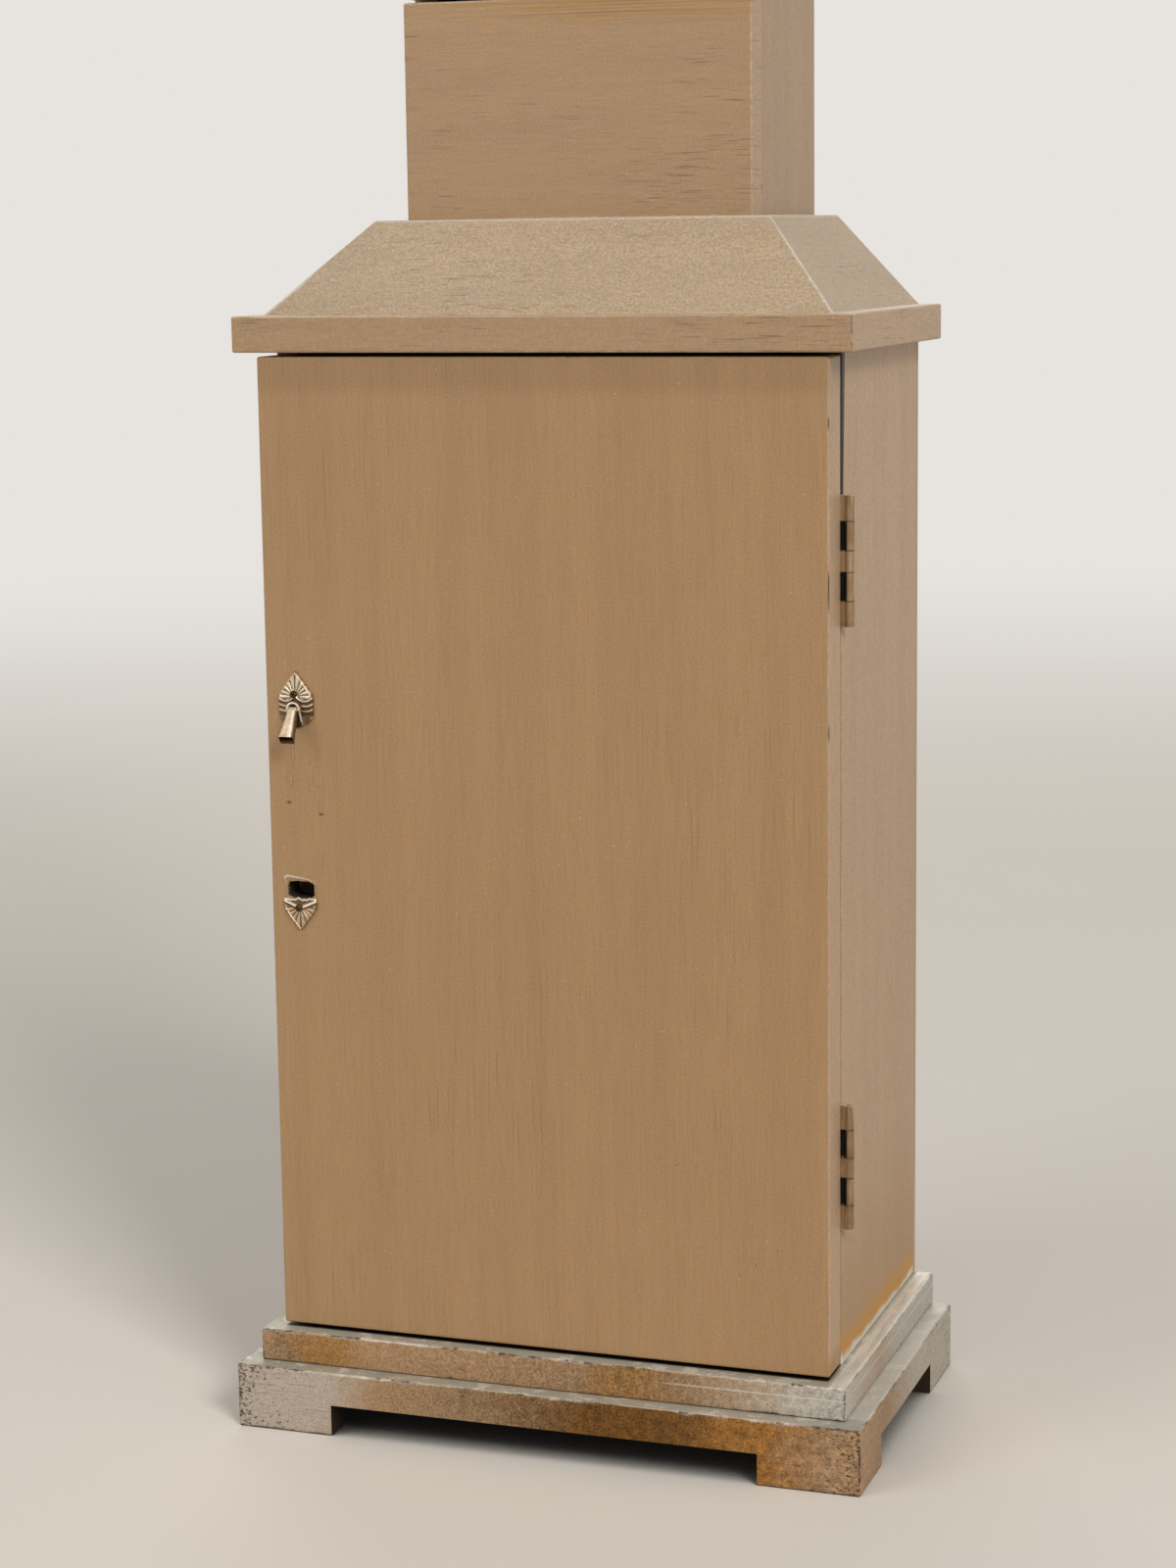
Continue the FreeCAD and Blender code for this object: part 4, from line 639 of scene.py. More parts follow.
def side_marks(s):
    """The right side: a gold streak where the base meets the plinth, a paler front edge as painted light in the
    gap, and a tapering painted shade by the door near the top.
    """
    low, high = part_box("base_right_side")
    ragged = s.plus(s.z, s.scaled(s.noise(40.0, 4.0, 0.6), -7 * MM, 7 * MM))
    outer = s.ramp_mm(s.x, -2, -1, high.x)
    coats = ((GOLD_HAZE, 110, 15, 0.5), (BRIGHT_GOLD, 20, 7, 0.95), (FLAKED, 6, 2, 0.9))
    for paint, top, full, strength in coats:
        s.lay(paint, s.ramp_mm(ragged, top, full, low.z), outer, strength)
    # Painted light: the front edge, seen through the gap to the door, is paler.
    s.lay(BRONZE_PALE, s.ramp_mm(s.y, 0.2, 0, low.y))
    # Painted shade: a dark strip on the side by the door, wide at the top and gone lower down.
    gap_shade = s.scaled(s.ramp_flat(s.z, high.z - 150 * MM, high.z), -0.8 * MM, 5.5 * MM)
    gap_shade = s.minus(gap_shade, s.minus(s.y, low.y))
    s.lay(tinted(INSIDE, 0.5), s.ramp_mm(gap_shade, -0.2, 0.2))
    stained_and_shaded(s, s.x, low.x - 1 * MM, low.x + 0.3 * MM)


def left_side_marks(s):
    """The left side: dark wood on its front edge as painted shade in the gap to the door, and stained wood on its
    inner face.
    """
    low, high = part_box("base_left_side")
    # Painted shade: the front edge faces the door's gap.
    stained_and_shaded(s, s.y, low.y - 1 * MM, low.y + 0.7 * MM)
    stained_and_shaded(s, s.x, high.x - 0.3 * MM, high.x + 1 * MM)


def step_marks(s):
    """The plinth's step: a pale right end, painted shade in the gap under the door, and bare wood behind it."""
    low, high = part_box("plinth_step")
    door_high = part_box("base_door")[1]
    on_top = s.ramp_mm(s.z, -1, 0, high.z)
    seam = s.ramp_mm(s.size(s.minus(s.z, high.z - 6.5 * MM)), 0.6, 0.2)
    s.lay(FLAKED, seam, s.ramp_mm(s.x, 50, 80), 0.5)
    streaks = s.ramp(s.noise((500.0, 25.0, 500.0), 4.0, 0.7), 0.30, 0.60)
    s.lay(tinted(FLAKED, 1.12), s.ramp_mm(s.x, 0, 3, door_high.x), on_top, s.scaled(streaks, 0.35, 1.0))
    # Near black in the gap under the door is painted shade; further in, behind the door, is bare wood.
    bare = s.mix(s.noise(CROSSWISE, 2.0), PINE_DARK, INSIDE)
    inner = s.ramp_mm(s.y, 0, 3, door_high.y)
    gap_shade_and_bare = s.mix(inner, tinted(UNDERCOAT, 0.4), bare)
    s.lay(gap_shade_and_bare, on_top, s.ramp_mm(s.y, 7.5, 9.5, low.y), s.ramp_mm(s.size(s.x), 0, -1.5, door_high.x))


def pale_ledge(s):
    """The plinth's right side: a paler ledge."""
    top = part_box("plinth_right")[1].z
    s.lay(FLAKED, s.ramp_mm(s.z, -1, 0, top), 0.55)


def painted_ends(s):
    """Paint on the ends of the back panel."""
    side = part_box("base_back_panel")[1].x
    s.lay(BRONZE_GREY, s.ramp_mm(s.size(s.x), -1.6, -1.2, side))


# How far the hood door's frame stands in front of its glass
FRAME_OUT = 12 * MM


def knob_brass(s):
    """Brass on the hood door's knob, which stands in front of the frame."""
    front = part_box("hood_door_glass")[0].y - FRAME_OUT - 0.2 * MM
    s.lay(BRASS, s.ramp_mm(s.y, 0.1, -0.1, front))


def frame_edges(s):
    """Arrises of the hood door's frame, without its knob."""
    low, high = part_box("hood_door_frame")
    return s.box_edge((low.x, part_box("hood_door_glass")[0].y - FRAME_OUT, low.z), high)


# The plinth's colours along the front from left to right, and along the sides from front to back
LOWER_FRONT = ((0.0, SILVER_PINK), (0.13, SILVER_PINK), (0.24, tinted(OLD_GOLD, 1.15)),
               (0.36, tinted(OLD_GOLD, 0.9)), (0.50, DARK_GOLD), (0.58, DEEP_GOLD), (0.72, DEEP_GOLD),
               (0.80, tinted(RUST_GOLD, 0.85)), (0.87, RUST_GOLD), (0.94, tinted(OLD_GOLD, 1.1)),
               (1.0, tinted(OLD_GOLD, 1.3)))
LOWER_SIDE = ((0.0, tinted(OLD_GOLD, 1.4)), (0.25, tinted(OLD_GOLD, 1.1)), (0.60, SILVER_GREY))
STEP_FRONT = ((0.0, tinted(OLD_GOLD, 1.2)), (0.03, tinted(OLD_GOLD, 0.85)), (0.08, GOLD_HAZE),
              (0.13, GOLD_HAZE), (0.19, tinted(OLD_GOLD, 1.25)), (0.42, tinted(OLD_GOLD, 1.1)),
              (0.55, OLD_GOLD), (0.64, tinted(GOLD_HAZE, 0.85)), (0.74, OLD_GOLD), (0.86, SILVER_WARM),
              (0.95, SILVER_PALE))
STEP_SIDE = ((0.0, tinted(SILVER_PALE, 1.15)), (0.35, SILVER_WARM), (0.65, SILVER_PALE))

# What is added to a node's paint or wood
MARKS = {"base_door": door_marks, "base_left_side": left_side_marks, "base_right_side": side_marks,
         "trunk_left_side": trunk_side_marks, "trunk_right_side": trunk_side_marks,
         "trunk_bottom_rail": rail_marks, "eave_board": eave_marks, "skirt_front": skirt_marks,
         "skirt_left": skirt_marks, "skirt_right": skirt_marks, "plinth_right": pale_ledge,
         "plinth_step": step_marks, "base_back_panel": painted_ends, "hood_door_frame": knob_brass}


def paint_case():
    """Paint on every board of the case, with the brush strokes along the board."""
    for node in ("base_door", "base_left_side", "base_right_side", "trunk_door", "trunk_left_side",
                 "trunk_right_side", "hood_sides"):
        painted_wood(node, box_edges(node))
    painted_wood("hood_door_frame", frame_edges)
    level = {"grain": LEVEL, "base": BRONZE_PALE, "wear": 0.35, "pores": 0.4}
    for node in ("eave_board", "trunk_bottom_rail", "trunk_top_rail", "hood_base_frame", "hood_cornice"):
        painted_wood(node, box_edges(node), **level)
    for node in ("skirt_front", "skirt_left", "skirt_right", "throat_moulding", "hood_roof"):
        painted_wood(node, sharp_edges, **level)
    plinth = (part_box("plinth_front")[0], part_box("plinth_right")[1])
    for node in ("plinth_front", "plinth_left", "plinth_right"):
        plinth_paint(node, plinth, LOWER_FRONT, LOWER_SIDE)
    plinth_paint("plinth_step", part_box("plinth_step"), STEP_FRONT, STEP_SIDE, pitted=0.3, mottled=1.4)


# Radius of the steel arbors in the wheels
SHAFT_R = 4.9 * MM


def steel_shaft(node):
    """A mask that is 1 on the arbor in the middle of a wheel."""
    x, y, z = joint_of_body[body_of_node[node]]
    return lambda s: s.ramp_mm(s.line((x, 0, z), (x, 1, z)), 0, -0.2, SHAFT_R)


def finish_small_parts():
    """Bare wood, hinges, the movement, the dial and the glass."""
    for node, along in (("base_back_panel", UPRIGHT), ("backboard", UPRIGHT), ("skirt_cap", CROSSWISE),
                        ("seatboard", CROSSWISE)):
        bare_wood(node, along)
    finishes = {"painted_hinge": painted_metal(), "steel": metal("oiled_steel", STEEL, STEEL_DARK),
                "brass": metal("dull_brass", BRASS, BRASS_DULL, rubbed=BRASS_BRIGHT)}
    for node, slot in slot_of_node.items():
        if slot in finishes:
            dress(node, finishes[slot])
    # Dark iron, made near black and matte as painted shade seen through the lock's hole.
    dress("base_lock_case", metal("lock_iron_shade_dark", tinted(STEEL_DARK, 0.3), INK, rough=(0.75, 0.9), shine=0.0))
    blued = metal("blued_steel", BLUED, INK, rough=(0.2, 0.35))
    for node in ("hour_hand", "minute_hand"):
        dress(node, blued)
    for node in ("centre_wheel", "third_wheel", "escape_wheel", "mainspring_barrel"):
        dress(node, metal(node + "_brass", BRASS, BRASS_DULL, shafts=steel_shaft(node), rubbed=BRASS_BRIGHT))
    dress("dial", dial_paint())
    dress("hood_door_glass", window_glass())


def placed(name, data):
    thing = bpy.data.objects.new(name, data)
    bpy.context.scene.collection.objects.link(thing)
    return thing


def add_piece(name, parts, material, body, slot, *replaced, relief=None, degrees=50):
    """A smooth piece from (points, faces) parts, which rides on a body and may stand for CAD nodes."""
    points, faces = [], []
    for part_points, part_faces in parts:
        start = len(points)
        points.extend(part_points)
        faces.extend([[start + index for index in face] for face in part_faces])
    mesh = bpy.data.meshes.new(name)
    mesh.from_pydata(points, [], faces)
    mesh.validate()
    bm = bmesh.new()
    bm.from_mesh(mesh)
    bmesh.ops.recalc_face_normals(bm, faces=bm.faces)
    bm.to_mesh(mesh)
    bm.free()
    if relief is not None:
        mesh.attributes.new("relief", "FLOAT", "POINT").data.foreach_set("value", relief)
    mesh.polygons.foreach_set("use_smooth", [True] * len(mesh.polygons))
    mesh.set_sharp_from_angle(angle=math.radians(degrees))
    mesh.materials.append(material)
    piece = placed(name, mesh)
    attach(piece, body)
    if replaced:
        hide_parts(*replaced)


def grid_faces(rows, columns, wrap=False):
    faces = []
    for i in range(rows - 1):
        for j in range(columns if wrap else columns - 1):
            k = (j + 1) % columns
            faces.append([i * columns + j, i * columns + k, (i + 1) * columns + k, (i + 1) * columns + j])
    return faces


def skin(rings):
    """Points and faces of an open skin through closed rings of equal length."""
    points = [tuple(point) for ring in rings for point in ring]
    return points, grid_faces(len(rings), len(rings[0]), wrap=True)


def tube(rings):
    """As skin, but capped at both ends."""
    points, faces = skin(rings)
    count = len(rings[0])
    faces.append(list(range(count)))
    faces.append([(len(rings) - 1) * count + j for j in range(count)])
    return points, faces


def circle(count):
    """Cosine and sine of even steps round a circle."""
    return [(math.cos(2 * math.pi * k / count), math.sin(2 * math.pi * k / count)) for k in range(count)]


def squared(value, power):
    """A cosine or sine pressed outwards, which turns an ellipse into a rounded box."""
    return math.copysign(abs(value) ** power, value)


# Cast ornament: millimetres across it (u) and from its tip (t)
TIP_T = (0.0, 3.3, 7.3, 11.3, 14.0, 23.4, 26.0, 28.7)
TIP_HALF = (0.15, 2.9, 6.2, 8.9, 9.2, 9.2, 7.0, 0.9)
VOLUTE_U, VOLUTE_T, VOLUTE_R, RIB_STEP = 5.0, 9.7, 5.3, 2.55
SCREW_U, SCREW_T, SCREW_R, SCREW_TURN = -0.9, 11.5, 1.3, 0.5
FAN_T, LOBE = 12.3, math.radians(21)
RIB_ANGLE = math.radians(112)
ARCH_T, ARCH_R, ARCH_HALF, ARCH_LEG = 18.75, 3.3, 0.6, 6.5
GRID = 0.16
COLUMNS = 117


def fan(u, t):
    """Relief of lobes that spread from the screw to the plate's edge."""
    side = np.abs(u)
    lobes = np.abs(np.sin(np.pi * np.arctan2(side, FAN_T - t) / LOBE)) ** 0.45
    border = np.exp(-((np.interp(t, TIP_T, TIP_HALF) - side - 0.7) / 0.5) ** 2)
    return np.where(np.hypot(side, FAN_T - t) > 2.6, np.maximum(0.8 * lobes, border), 0.3)


def with_screw(u, t, relief):
    """Height and relief of a cast face with a cross-head screw in it."""
    right, up = u - SCREW_U, t - SCREW_T
    reach = np.hypot(right, up)
    a = right * math.cos(SCREW_TURN) + up * math.sin(SCREW_TURN)
    b = up * math.cos(SCREW_TURN) - right * math.sin(SCREW_TURN)
    head = reach < SCREW_R
    cross = head & (np.minimum(np.abs(a), np.abs(b)) < 0.28) & (reach < 1.1)
    moat = ~head & (reach < SCREW_R + 0.5)
    dome = 1.5 + 0.6 * np.sqrt(np.clip(1 - (reach / (SCREW_R + 0.1)) ** 2, 0, 1))
    height = np.where(head, dome, np.where(moat, 1.0, 1.2 + 1.2 * relief)) - 0.9 * cross
    return height, np.where(head, 0.22, np.where(moat, 0.05, relief)) * ~cross


def pull_relief(u, t):
    """Lobes above the screw, ribs on both sides below it, and a hollow behind the drop."""
    side = np.abs(u)
    ring = np.hypot(side - VOLUTE_U, t - VOLUTE_T) - VOLUTE_R
    ribs = np.zeros_like(ring)
    for k in range(3):
        ribs = np.maximum(ribs, (1.0 - 0.15 * k) * np.exp(-((ring - k * RIB_STEP) / 0.6) ** 2))
    below = (ring > -0.8) & (t > VOLUTE_T + 1.5)
    relief = np.where(below, np.maximum(ribs, 0.12), fan(u, t))
    relief = np.where(t > 22.5, 0.5 + 0.3 * np.cos(np.pi * side / 6), relief)
    hollow = np.where(t < ARCH_T, np.hypot(u, t - ARCH_T), side) < ARCH_R - 0.3
    relief = np.where(hollow & (t > ARCH_T - ARCH_R), 0.0, relief)
    return with_screw(u, t, relief)


def key_relief(u, t):
    """Lobes below the screw and one thick rib on each side above it."""
    side = np.abs(u)
    across = side * math.cos(RIB_ANGLE) + (t - SCREW_T) * math.sin(RIB_ANGLE)
    ribs = np.where(side > 1.6, np.exp(-(across / 0.9) ** 2), 0.1)
    return with_screw(u, t, np.where(across > -1.5, np.maximum(ribs, 0.15), 0.72 * fan(u, t)))


def cast_plate(length, place, shape, end=None):
    """Points, faces and relief of a cast plate on the door. Place turns (u, t) into (x, z)."""
    rows = int(length / GRID)
    share = np.linspace(-1, 1, COLUMNS)
    stop = end(share) if end else np.full(COLUMNS, length)
    t = np.linspace(0, 1, rows)[:, None] * stop[None, :]
    half = np.interp(t, TIP_T, TIP_HALF)
    u = share[None, :] * half
    height, relief = shape(u, t)
    rim = np.clip(np.minimum(half - np.abs(u), t) / 0.9, 0, 1)
    height = height * (0.45 + 0.55 * np.sqrt(rim * (2 - rim)))
    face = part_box("base_door")[0].y
    x, z = place(u, t)
    points = np.stack([x, face - height * MM, z], axis=-1).reshape(-1, 3).tolist()
    faces = grid_faces(rows, COLUMNS)
    index = np.arange(len(points)).reshape(rows, COLUMNS)
    border = np.concatenate([index[0], index[1:, -1], index[-1, -2::-1], index[-2:0:-1, 0]]).tolist()
    first = len(points)
    points += [(points[k][0], face, points[k][2]) for k in border]
    for n, k in enumerate(border):
        m = (n + 1) % len(border)
        faces.append([border[m], k, first + n, first + m])
    faces.append([first + n for n in range(len(border))])
    return points, faces, np.concatenate([relief.ravel(), np.full(len(border), 0.3)])


def drop_arch(middle, face, pivot):
    """Points, faces and relief of the arch that stands over the drop's eye and holds its pin."""
    section = ((-1.0, 0.0), (-1.0, 0.85), (-0.75, 0.96), (0.0, 1.0), (0.75, 0.96), (1.0, 0.85), (1.0, 0.0))
    tones = (0.1, 0.4, 0.85, 1.0, 0.85, 0.4, 0.1)
    root, foot, top = 0.8, 2.2, 5.3
    path = []
    for k in range(8):
        path.append((ARCH_R, ARCH_LEG * (k / 8 - 1), 1, 0, foot + (top - foot) * k / 8))
    for k in range(25):
        c, s = math.cos(math.pi * k / 24), math.sin(math.pi * k / 24)
        path.append((ARCH_R * c, ARCH_R * s, c, s, top))
    path += [(-u, w, -out_u, out_w, proud) for u, w, out_u, out_w, proud in reversed(path[:8])]
    rings = []
    for u, w, out_u, out_w, proud in path:
        ring = []
        for aside, rise in section:
            x, z = u + aside * ARCH_HALF * out_u, w + aside * ARCH_HALF * out_w
            ring.append((middle + x * MM, face - (root + (proud - root) * rise) * MM, pivot.z + z * MM))
        rings.append(ring)
    points, faces = tube(rings)
    return points, faces, np.tile(tones, len(rings))


def cross_shaft(pivot, count, *stations):
    """A round bar along X through the pivot, from its (place, radius) stations in millimetres."""
    return tube([[pivot + Vector((x, r * c, r * s)) * MM for c, s in circle(count)] for x, r in stations])


# The drop: its lean, length and slanting end, its width and depth in millimetres as (at the eye, more at the
# end), and the rings of its skin and its hollow as (share of the length, fit)
DROP_LEAN, DROP_LENGTH, DROP_SLANT = math.radians(32), 17.0 * MM, 0.45
DROP_W, DROP_D = (4.4, 3.7), (2.7, 2.0)
DROP_RINGS = [(k / 59, 0.86 if k < 2 else 0.97 if k == 59 else 1.0) for k in range(60)]
HOLLOW_RINGS = [(1.0, 0.93), (0.85, 0.88), (0.80, 0.85)]


def build_pull(cast):
    """The cast pull plate with its arch, and the drop that hangs from it."""
    low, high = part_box("base_pull_plate")
    middle = 0.5 * (low.x + high.x)
    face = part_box("base_door")[0].y
    pivot = Vector(joint_of_body["base_pull"])
    plate = cast_plate(TIP_T[-1], lambda u, t: (middle + u * MM, high.z - t * MM), pull_relief)
    arch = drop_arch(middle, face, pivot)
    add_piece("pull_plate_cast", [plate[:2], arch[:2]], cast, "base_door", "brass", "base_pull_plate",
              relief=np.concatenate([plate[2], arch[2]]))

    along = Vector((0, -math.sin(DROP_LEAN), -math.cos(DROP_LEAN)))
    outward = Vector((0, -math.cos(DROP_LEAN), math.sin(DROP_LEAN)))
    rings, shade = [], []
    for share, fit in DROP_RINGS + HOLLOW_RINGS:
        half_w, half_d = (0.5 * (eye + more * share) * fit * MM for eye, more in (DROP_W, DROP_D))
        axis = pivot + along * (share * DROP_LENGTH)
        cut = outward - along * (DROP_SLANT * max(0.0, (share - 0.7) / 0.3))
        hollow = len(rings) >= len(DROP_RINGS)
        ring = []
        for c, s in circle(40):
            aside = squared(c, 0.3)
            point = axis + Vector((half_w * aside, 0, 0)) + cut * (half_d * squared(s, 0.3))
            dent = 0.0 if hollow else 0.10 * MM * (1 + noise.noise(point * 1100))
            ring.append(point + (axis - point).normalized() * dent)
            # Painted light: a bright ridge, a darker right flank and a mid tone on the left; inside the hollow
            # end, black as painted shade.
            tone = 1.0 if 0.45 < aside < 0.75 else 0.30 if aside >= 0.75 else 0.62
            shade.append(-0.3 if hollow else tone + 0.25 * noise.noise(point * 1700))
        rings.append(ring)
    loop = cross_shaft(pivot, 32, (-2.4, 1.2), (-2.1, 1.55), (2.1, 1.55), (2.4, 1.2))
    pin = cross_shaft(pivot, 20, (-3.2, 0.6), (-3.0, 0.75), (3.0, 0.75), (3.2, 0.6))
    values = np.concatenate([shade, np.full(len(loop[0]), 0.5), np.full(len(pin[0]), 0.7)])
    add_piece("pull_drop_cast", [tube(rings), loop, pin], cast, "base_pull", "brass", "base_pull_drop",
              relief=values, degrees=60)


# The key plate: its width against the pull plate's, millimetres above its solid, and the break's corners
KEY_FIT, KEY_EXTRA, KEY_BREAKS = 0.97, 1.1, 15


def build_escutcheon(cast):
    """What is left of the key plate: its lower half, broken across at the top."""
    low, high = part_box("base_escutcheon")
    middle = 0.5 * (low.x + high.x)
    tall = (high.z - low.z) / MM + KEY_EXTRA
    draw = random.Random(5)
    steps = [tall - draw.uniform(0.0, 1.3) for k in range(KEY_BREAKS)]
    points, faces, relief = cast_plate(
        tall, lambda u, t: (middle + KEY_FIT * u * MM, low.z + t * MM), key_relief,
        lambda share: np.interp(share, np.linspace(-1, 1, KEY_BREAKS), steps))
    grid = int(tall / GRID) * COLUMNS
    # Painted highlight along the broken top edge.
    relief[grid - 6 * COLUMNS:grid] = 1.0
    add_piece("key_plate_cast", [(points, faces)], cast, "base_door", "brass", "base_escutcheon",
              relief=relief)


# The lock's hole in the door: its middle and half its size
HOLE_X, HOLE_Z = -130.8 * MM, 284.4 * MM
HOLE_HALF_W, HOLE_HALF_H = 7.75 * MM, 4.7 * MM


def build_lock_hole():
    """Torn wood and lifted paint round the lock's hole, with a flap at its upper left."""
    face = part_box("base_door")[0].y
    count = 140
    levels = ((0.0, 0.02), (0.12, 0.40), (0.30, 0.60), (0.55, 0.30), (1.0, 0.10), (1.0, -2.0), (1.02, -14.0))
    rings = [[] for level in levels]
    relief = [[] for level in levels]
    for j, (c, s) in enumerate(circle(count)):
        ragged = 0.95 + 0.05 * noise.noise(Vector((3 * c, 3 * s, 1.7)))
        ragged += 0.06 * noise.noise(Vector((9 * c, 9 * s, 4.1)))
        x, z = HOLE_HALF_W * ragged * squared(c, 0.5), HOLE_HALF_H * ragged * squared(s, 0.5)
        inner = math.hypot(x, z)
        way_x, way_z = x / inner, z / inner
        cut = min(HOLE_HALF_W / max(abs(way_x), 0.001), HOLE_HALF_H / max(abs(way_z), 0.001))
        flap = math.exp(-((2 * math.pi * j / count - 2.0) / 0.5) ** 2)
        margin = 0.6 + 0.6 * noise.noise(Vector((5 * c, 5 * s, 8.3))) + 4.0 * flap
        outer = cut + (0.3 if s < -0.5 else margin) * MM
        # Painted light: the rim is paler on its upper side; the inner rings are black as painted shade in the
        # hole.
        tones = (0.45, 0.45, 0.50 + 0.45 * max(0.0, s), 0.45, 0.30, 0.02, 0.0)
        for ring, shade, (share, proud), tone in zip(rings, relief, levels, tones):
            reach = outer + (inner - outer) * share
            ring.append((HOLE_X + reach * way_x, face - proud * MM, HOLE_Z + reach * way_z))
            shade.append(tone)
    add_piece("lock_hole_rim", [skin(rings)], torn_wood(), "base_door", "bronze_paint",
              relief=np.concatenate(relief), degrees=35)


def corners(left, right, low, high):
    return (left, low), (right, low), (right, high), (left, high)


def foot(left, right):
    """The serif at the foot of a letter."""
    return corners(left, right, 0, 0.05)


def head(left, right):
    """The serif at the top of a letter."""
    return corners(left, right, 0.95, 1)


# Strokes of a Roman numeral, for a letter 1 high: the letter's width, and the corners of each stroke
LETTERS = {
    "I": (0.34, (corners(0.085, 0.255, 0, 1), foot(0, 0.34), head(0, 0.34))),
    "V": (0.86, (((0.05, 1), (0.25, 1), (0.50, 0), (0.40, 0)), ((0.70, 1), (0.76, 1), (0.48, 0), (0.43, 0)),
                 head(-0.02, 0.33), head(0.60, 0.86))),
    "X": (0.88, (((0.05, 1), (0.27, 1), (0.83, 0), (0.61, 0)), ((0.70, 1), (0.76, 1), (0.19, 0), (0.13, 0)),
                 head(-0.02, 0.34), head(0.60, 0.86), foot(0.02, 0.31), foot(0.54, 0.90))),
}
LETTER_GAP = 0.05
NUMERALS = ("XII", "I", "II", "III", "IIII", "V", "VI", "VII", "VIII", "IX", "X", "XI")
NUMERAL_H, NUMERAL_R = 19 * MM, 80 * MM
TRACK_R, TRACK_W = 95 * MM, 6 * MM
PETAL_R, PETAL_HALF = 128 * MM, 2.4 * MM
LINE_HALF, PAINT_T = 0.35 * MM, 0.12 * MM


def raised(outline, face):
    """A thin raised patch on the dial, from an (x, z) outline."""
    count = len(outline)
    points = [(x, face, z) for x, z in outline] + [(x, face - PAINT_T, z) for x, z in outline]
    faces = [list(range(count))[::-1], [count + k for k in range(count)]]
    faces += [[k, (k + 1) % count, count + (k + 1) % count, count + k] for k in range(count)]
    return points, faces


def circle_band(radius, centre_z, face):
    """A thin raised ring on the dial."""
    inner, outer, front = radius - LINE_HALF, radius + LINE_HALF, face - PAINT_T
    section = ((inner, face), (inner, front), (outer, front), (outer, face))
    return skin([[(r * s, y, centre_z + r * c) for c, s in circle(180)] for r, y in section])


def turned(outline, angle, radius, centre_z):
    """Move an outline out to a radius of the dial, at a clock angle."""
    c, s = math.cos(angle), math.sin(angle)
    return [(x * c + (radius + z) * s, centre_z + (radius + z) * c - x * s) for x, z in outline]


def build_dial():
    """Chapter ring, minute track and corner sprays on the dial."""
    low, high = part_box("dial")
    face, centre_z = low.y, 0.5 * (low.z + high.z)
    body = body_of_node["dial"]
    parts = []
    for hour, numeral in enumerate(NUMERALS):
        x = -0.5 * (sum(LETTERS[letter][0] for letter in numeral) + LETTER_GAP * (len(numeral) - 1))
        for letter in numeral:
            letter_w, strokes = LETTERS[letter]
            for stroke in strokes:
                outline = [((x + px) * NUMERAL_H, (pz - 0.5) * NUMERAL_H) for px, pz in stroke]
                parts.append(raised(turned(outline, hour * math.pi / 6, NUMERAL_R, centre_z), face))
            x += letter_w + LETTER_GAP
    for minute in range(60):
        half = (1.1 if minute % 5 == 0 else 0.5) * MM
        outline = corners(-half, half, 0, TRACK_W)
        parts.append(raised(turned(outline, minute * math.pi / 30, TRACK_R, centre_z), face))
    for radius in (TRACK_R, TRACK_R + TRACK_W, NUMERAL_R - 0.5 * NUMERAL_H - 3 * MM):
        parts.append(circle_band(radius, centre_z, face))
    add_piece("dial_chapter_ring", parts, ink_paint(), body, "dial", degrees=30)

    petals = []
    for corner in range(4):
        for k in range(-2, 3):
            angle = math.pi / 4 + corner * math.pi / 2 + 0.10 * k
            half = 0.5 * (22 - 3 * abs(k)) * MM
            outline = [(PETAL_HALF * s * (1 + 0.4 * c), half * c) for c, s in circle(24)]
            petals.append(raised(turned(outline, angle, PETAL_R - 4 * MM * abs(k), centre_z), face))
    gold = metal("dial_gold", RUST_GOLD, DARK_GOLD, rough=(0.35, 0.6), shine=0.5)
    add_piece("dial_corner_petals", petals, gold, body, "dial", degrees=30)


# Lamps: name, place, aim, side of the square and power
LAMPS = (("key", (3.9, -3.9, 4.2), (0.0, 0.0, 0.4), 2.0, 260.0),
         ("fill", (-3.4, -4.0, 3.4), (0.0, 0.0, 0.4), 3.0, 85.0),
         ("back", (-1.6, 4.2, 3.6), (0.0, 0.0, 0.9), 3.0, 60.0))
LAMP_COLOUR = (1.0, 0.96, 0.90)
AMBIENT, AMBIENT_BEHIND = 0.40, 0.12
AMBIENT_COLOUR = (1.0, 0.97, 0.92, 1)
FLOOR_HALF, FADE_NEAR, FADE_FAR = 60.0, 1.3, 4.5


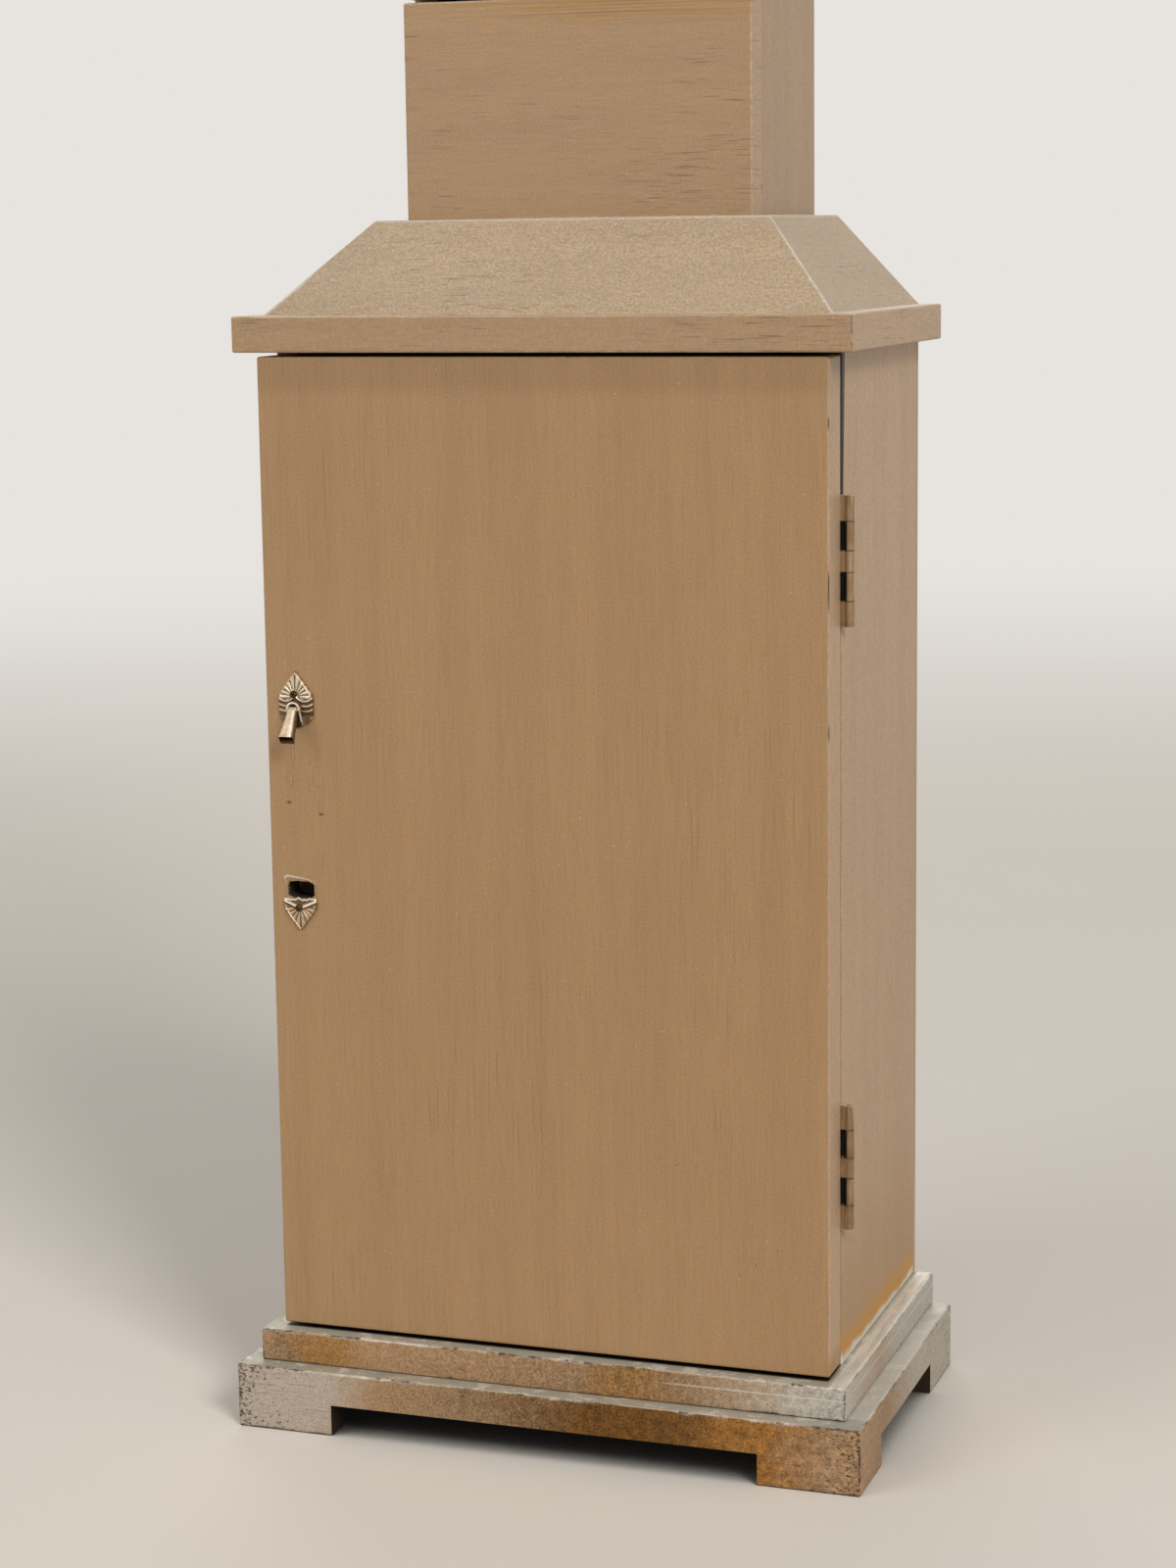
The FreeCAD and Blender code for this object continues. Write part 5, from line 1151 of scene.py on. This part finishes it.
def set_floor():
    """A pale floor with a painted contact shadow near the clock, which fades into the background far from it."""
    square = corners(-FLOOR_HALF, FLOOR_HALF, -FLOOR_HALF, FLOOR_HALF)
    mesh = bpy.data.meshes.new("floor")
    mesh.from_pydata([(x, y, 0) for x, y in square], [], [[0, 1, 2, 3]])
    s = Shader("floor_pale")
    open_sky = s.add("AmbientOcclusion", {"Distance": 0.15}, samples=8).outputs["AO"]
    s.colour = s.mix(s.noise(3.0, 3.0), FLOOR, tinted(FLOOR, 0.97))
    # Painted shadow: the floor darkens where little open sky reaches it.
    s.lay(tinted(FLOOR, 0.06), s.ramp(open_sky, 0.55, 0.15))
    mesh.materials.append(s.finish(0.85))
    glow = s.add("Emission", {"Color": BACKGROUND, "Strength": 1.0})
    fade = s.both(s.ramp(s.vector("LENGTH", s.place), FADE_NEAR, FADE_FAR), s.shown_ray())
    s.blend(fade, s.surface, glow, "Material Output")
    floor = placed("floor", mesh)


def set_camera():
    lens = bpy.data.cameras.new("camera")
    lens.sensor_fit = "VERTICAL"
    lens.sensor_height = SENSOR
    lens.lens = FOCAL_PX / IMAGE_H * SENSOR
    lens.clip_start = 0.05
    camera = placed("camera", lens)
    turns = ((-CAMERA_YAW, "Z"), (math.pi / 2 - CAMERA_PITCH, "X"), (-CAMERA_ROLL, "Z"))
    place = Matrix.Translation(CAMERA_AT)
    for angle, axis in turns:
        place = place @ Matrix.Rotation(angle, 4, axis)
    camera.matrix_world = place
    bpy.context.scene.camera = camera


def set_light():
    """Soft lamps, and a world that lights the object evenly and shows as a pale background."""
    for name, place, aim, side, power in LAMPS:
        lamp = bpy.data.lights.new(name, "AREA")
        lamp.shape = "SQUARE"
        lamp.size = side
        lamp.energy = power
        lamp.color = LAMP_COLOUR
        holder = placed(name, lamp)
        holder.location = place
        holder.rotation_euler = (Vector(aim) - Vector(place)).to_track_quat("-Z", "Y").to_euler()
    world = bpy.data.worlds.new("studio")
    bpy.context.scene.world = world
    world.use_nodes = True
    w = Nodes(world.node_tree)
    behind = w.parts(w.add("TexCoord").outputs["Generated"])["Y"]
    dim = w.add("MapRange", {"Value": behind, "From Min": 0.0, "From Max": 0.5, "To Min": AMBIENT,
                             "To Max": AMBIENT_BEHIND})
    ambient = w.tree.nodes["Background"]
    w.feed(ambient.inputs["Color"], AMBIENT_COLOUR)
    w.feed(ambient.inputs["Strength"], dim.outputs["Result"])
    pale = w.add("Background", {"Color": BACKGROUND})
    w.blend(w.shown_ray(), ambient, pale, "World Output")


bpy.context.scene.view_settings.view_transform = "Standard"
set_floor()
set_camera()
set_light()
paint_case()
finish_small_parts()
cast = cast_metal()
build_pull(cast)
build_escutcheon(cast)
build_lock_hole()
build_dial()
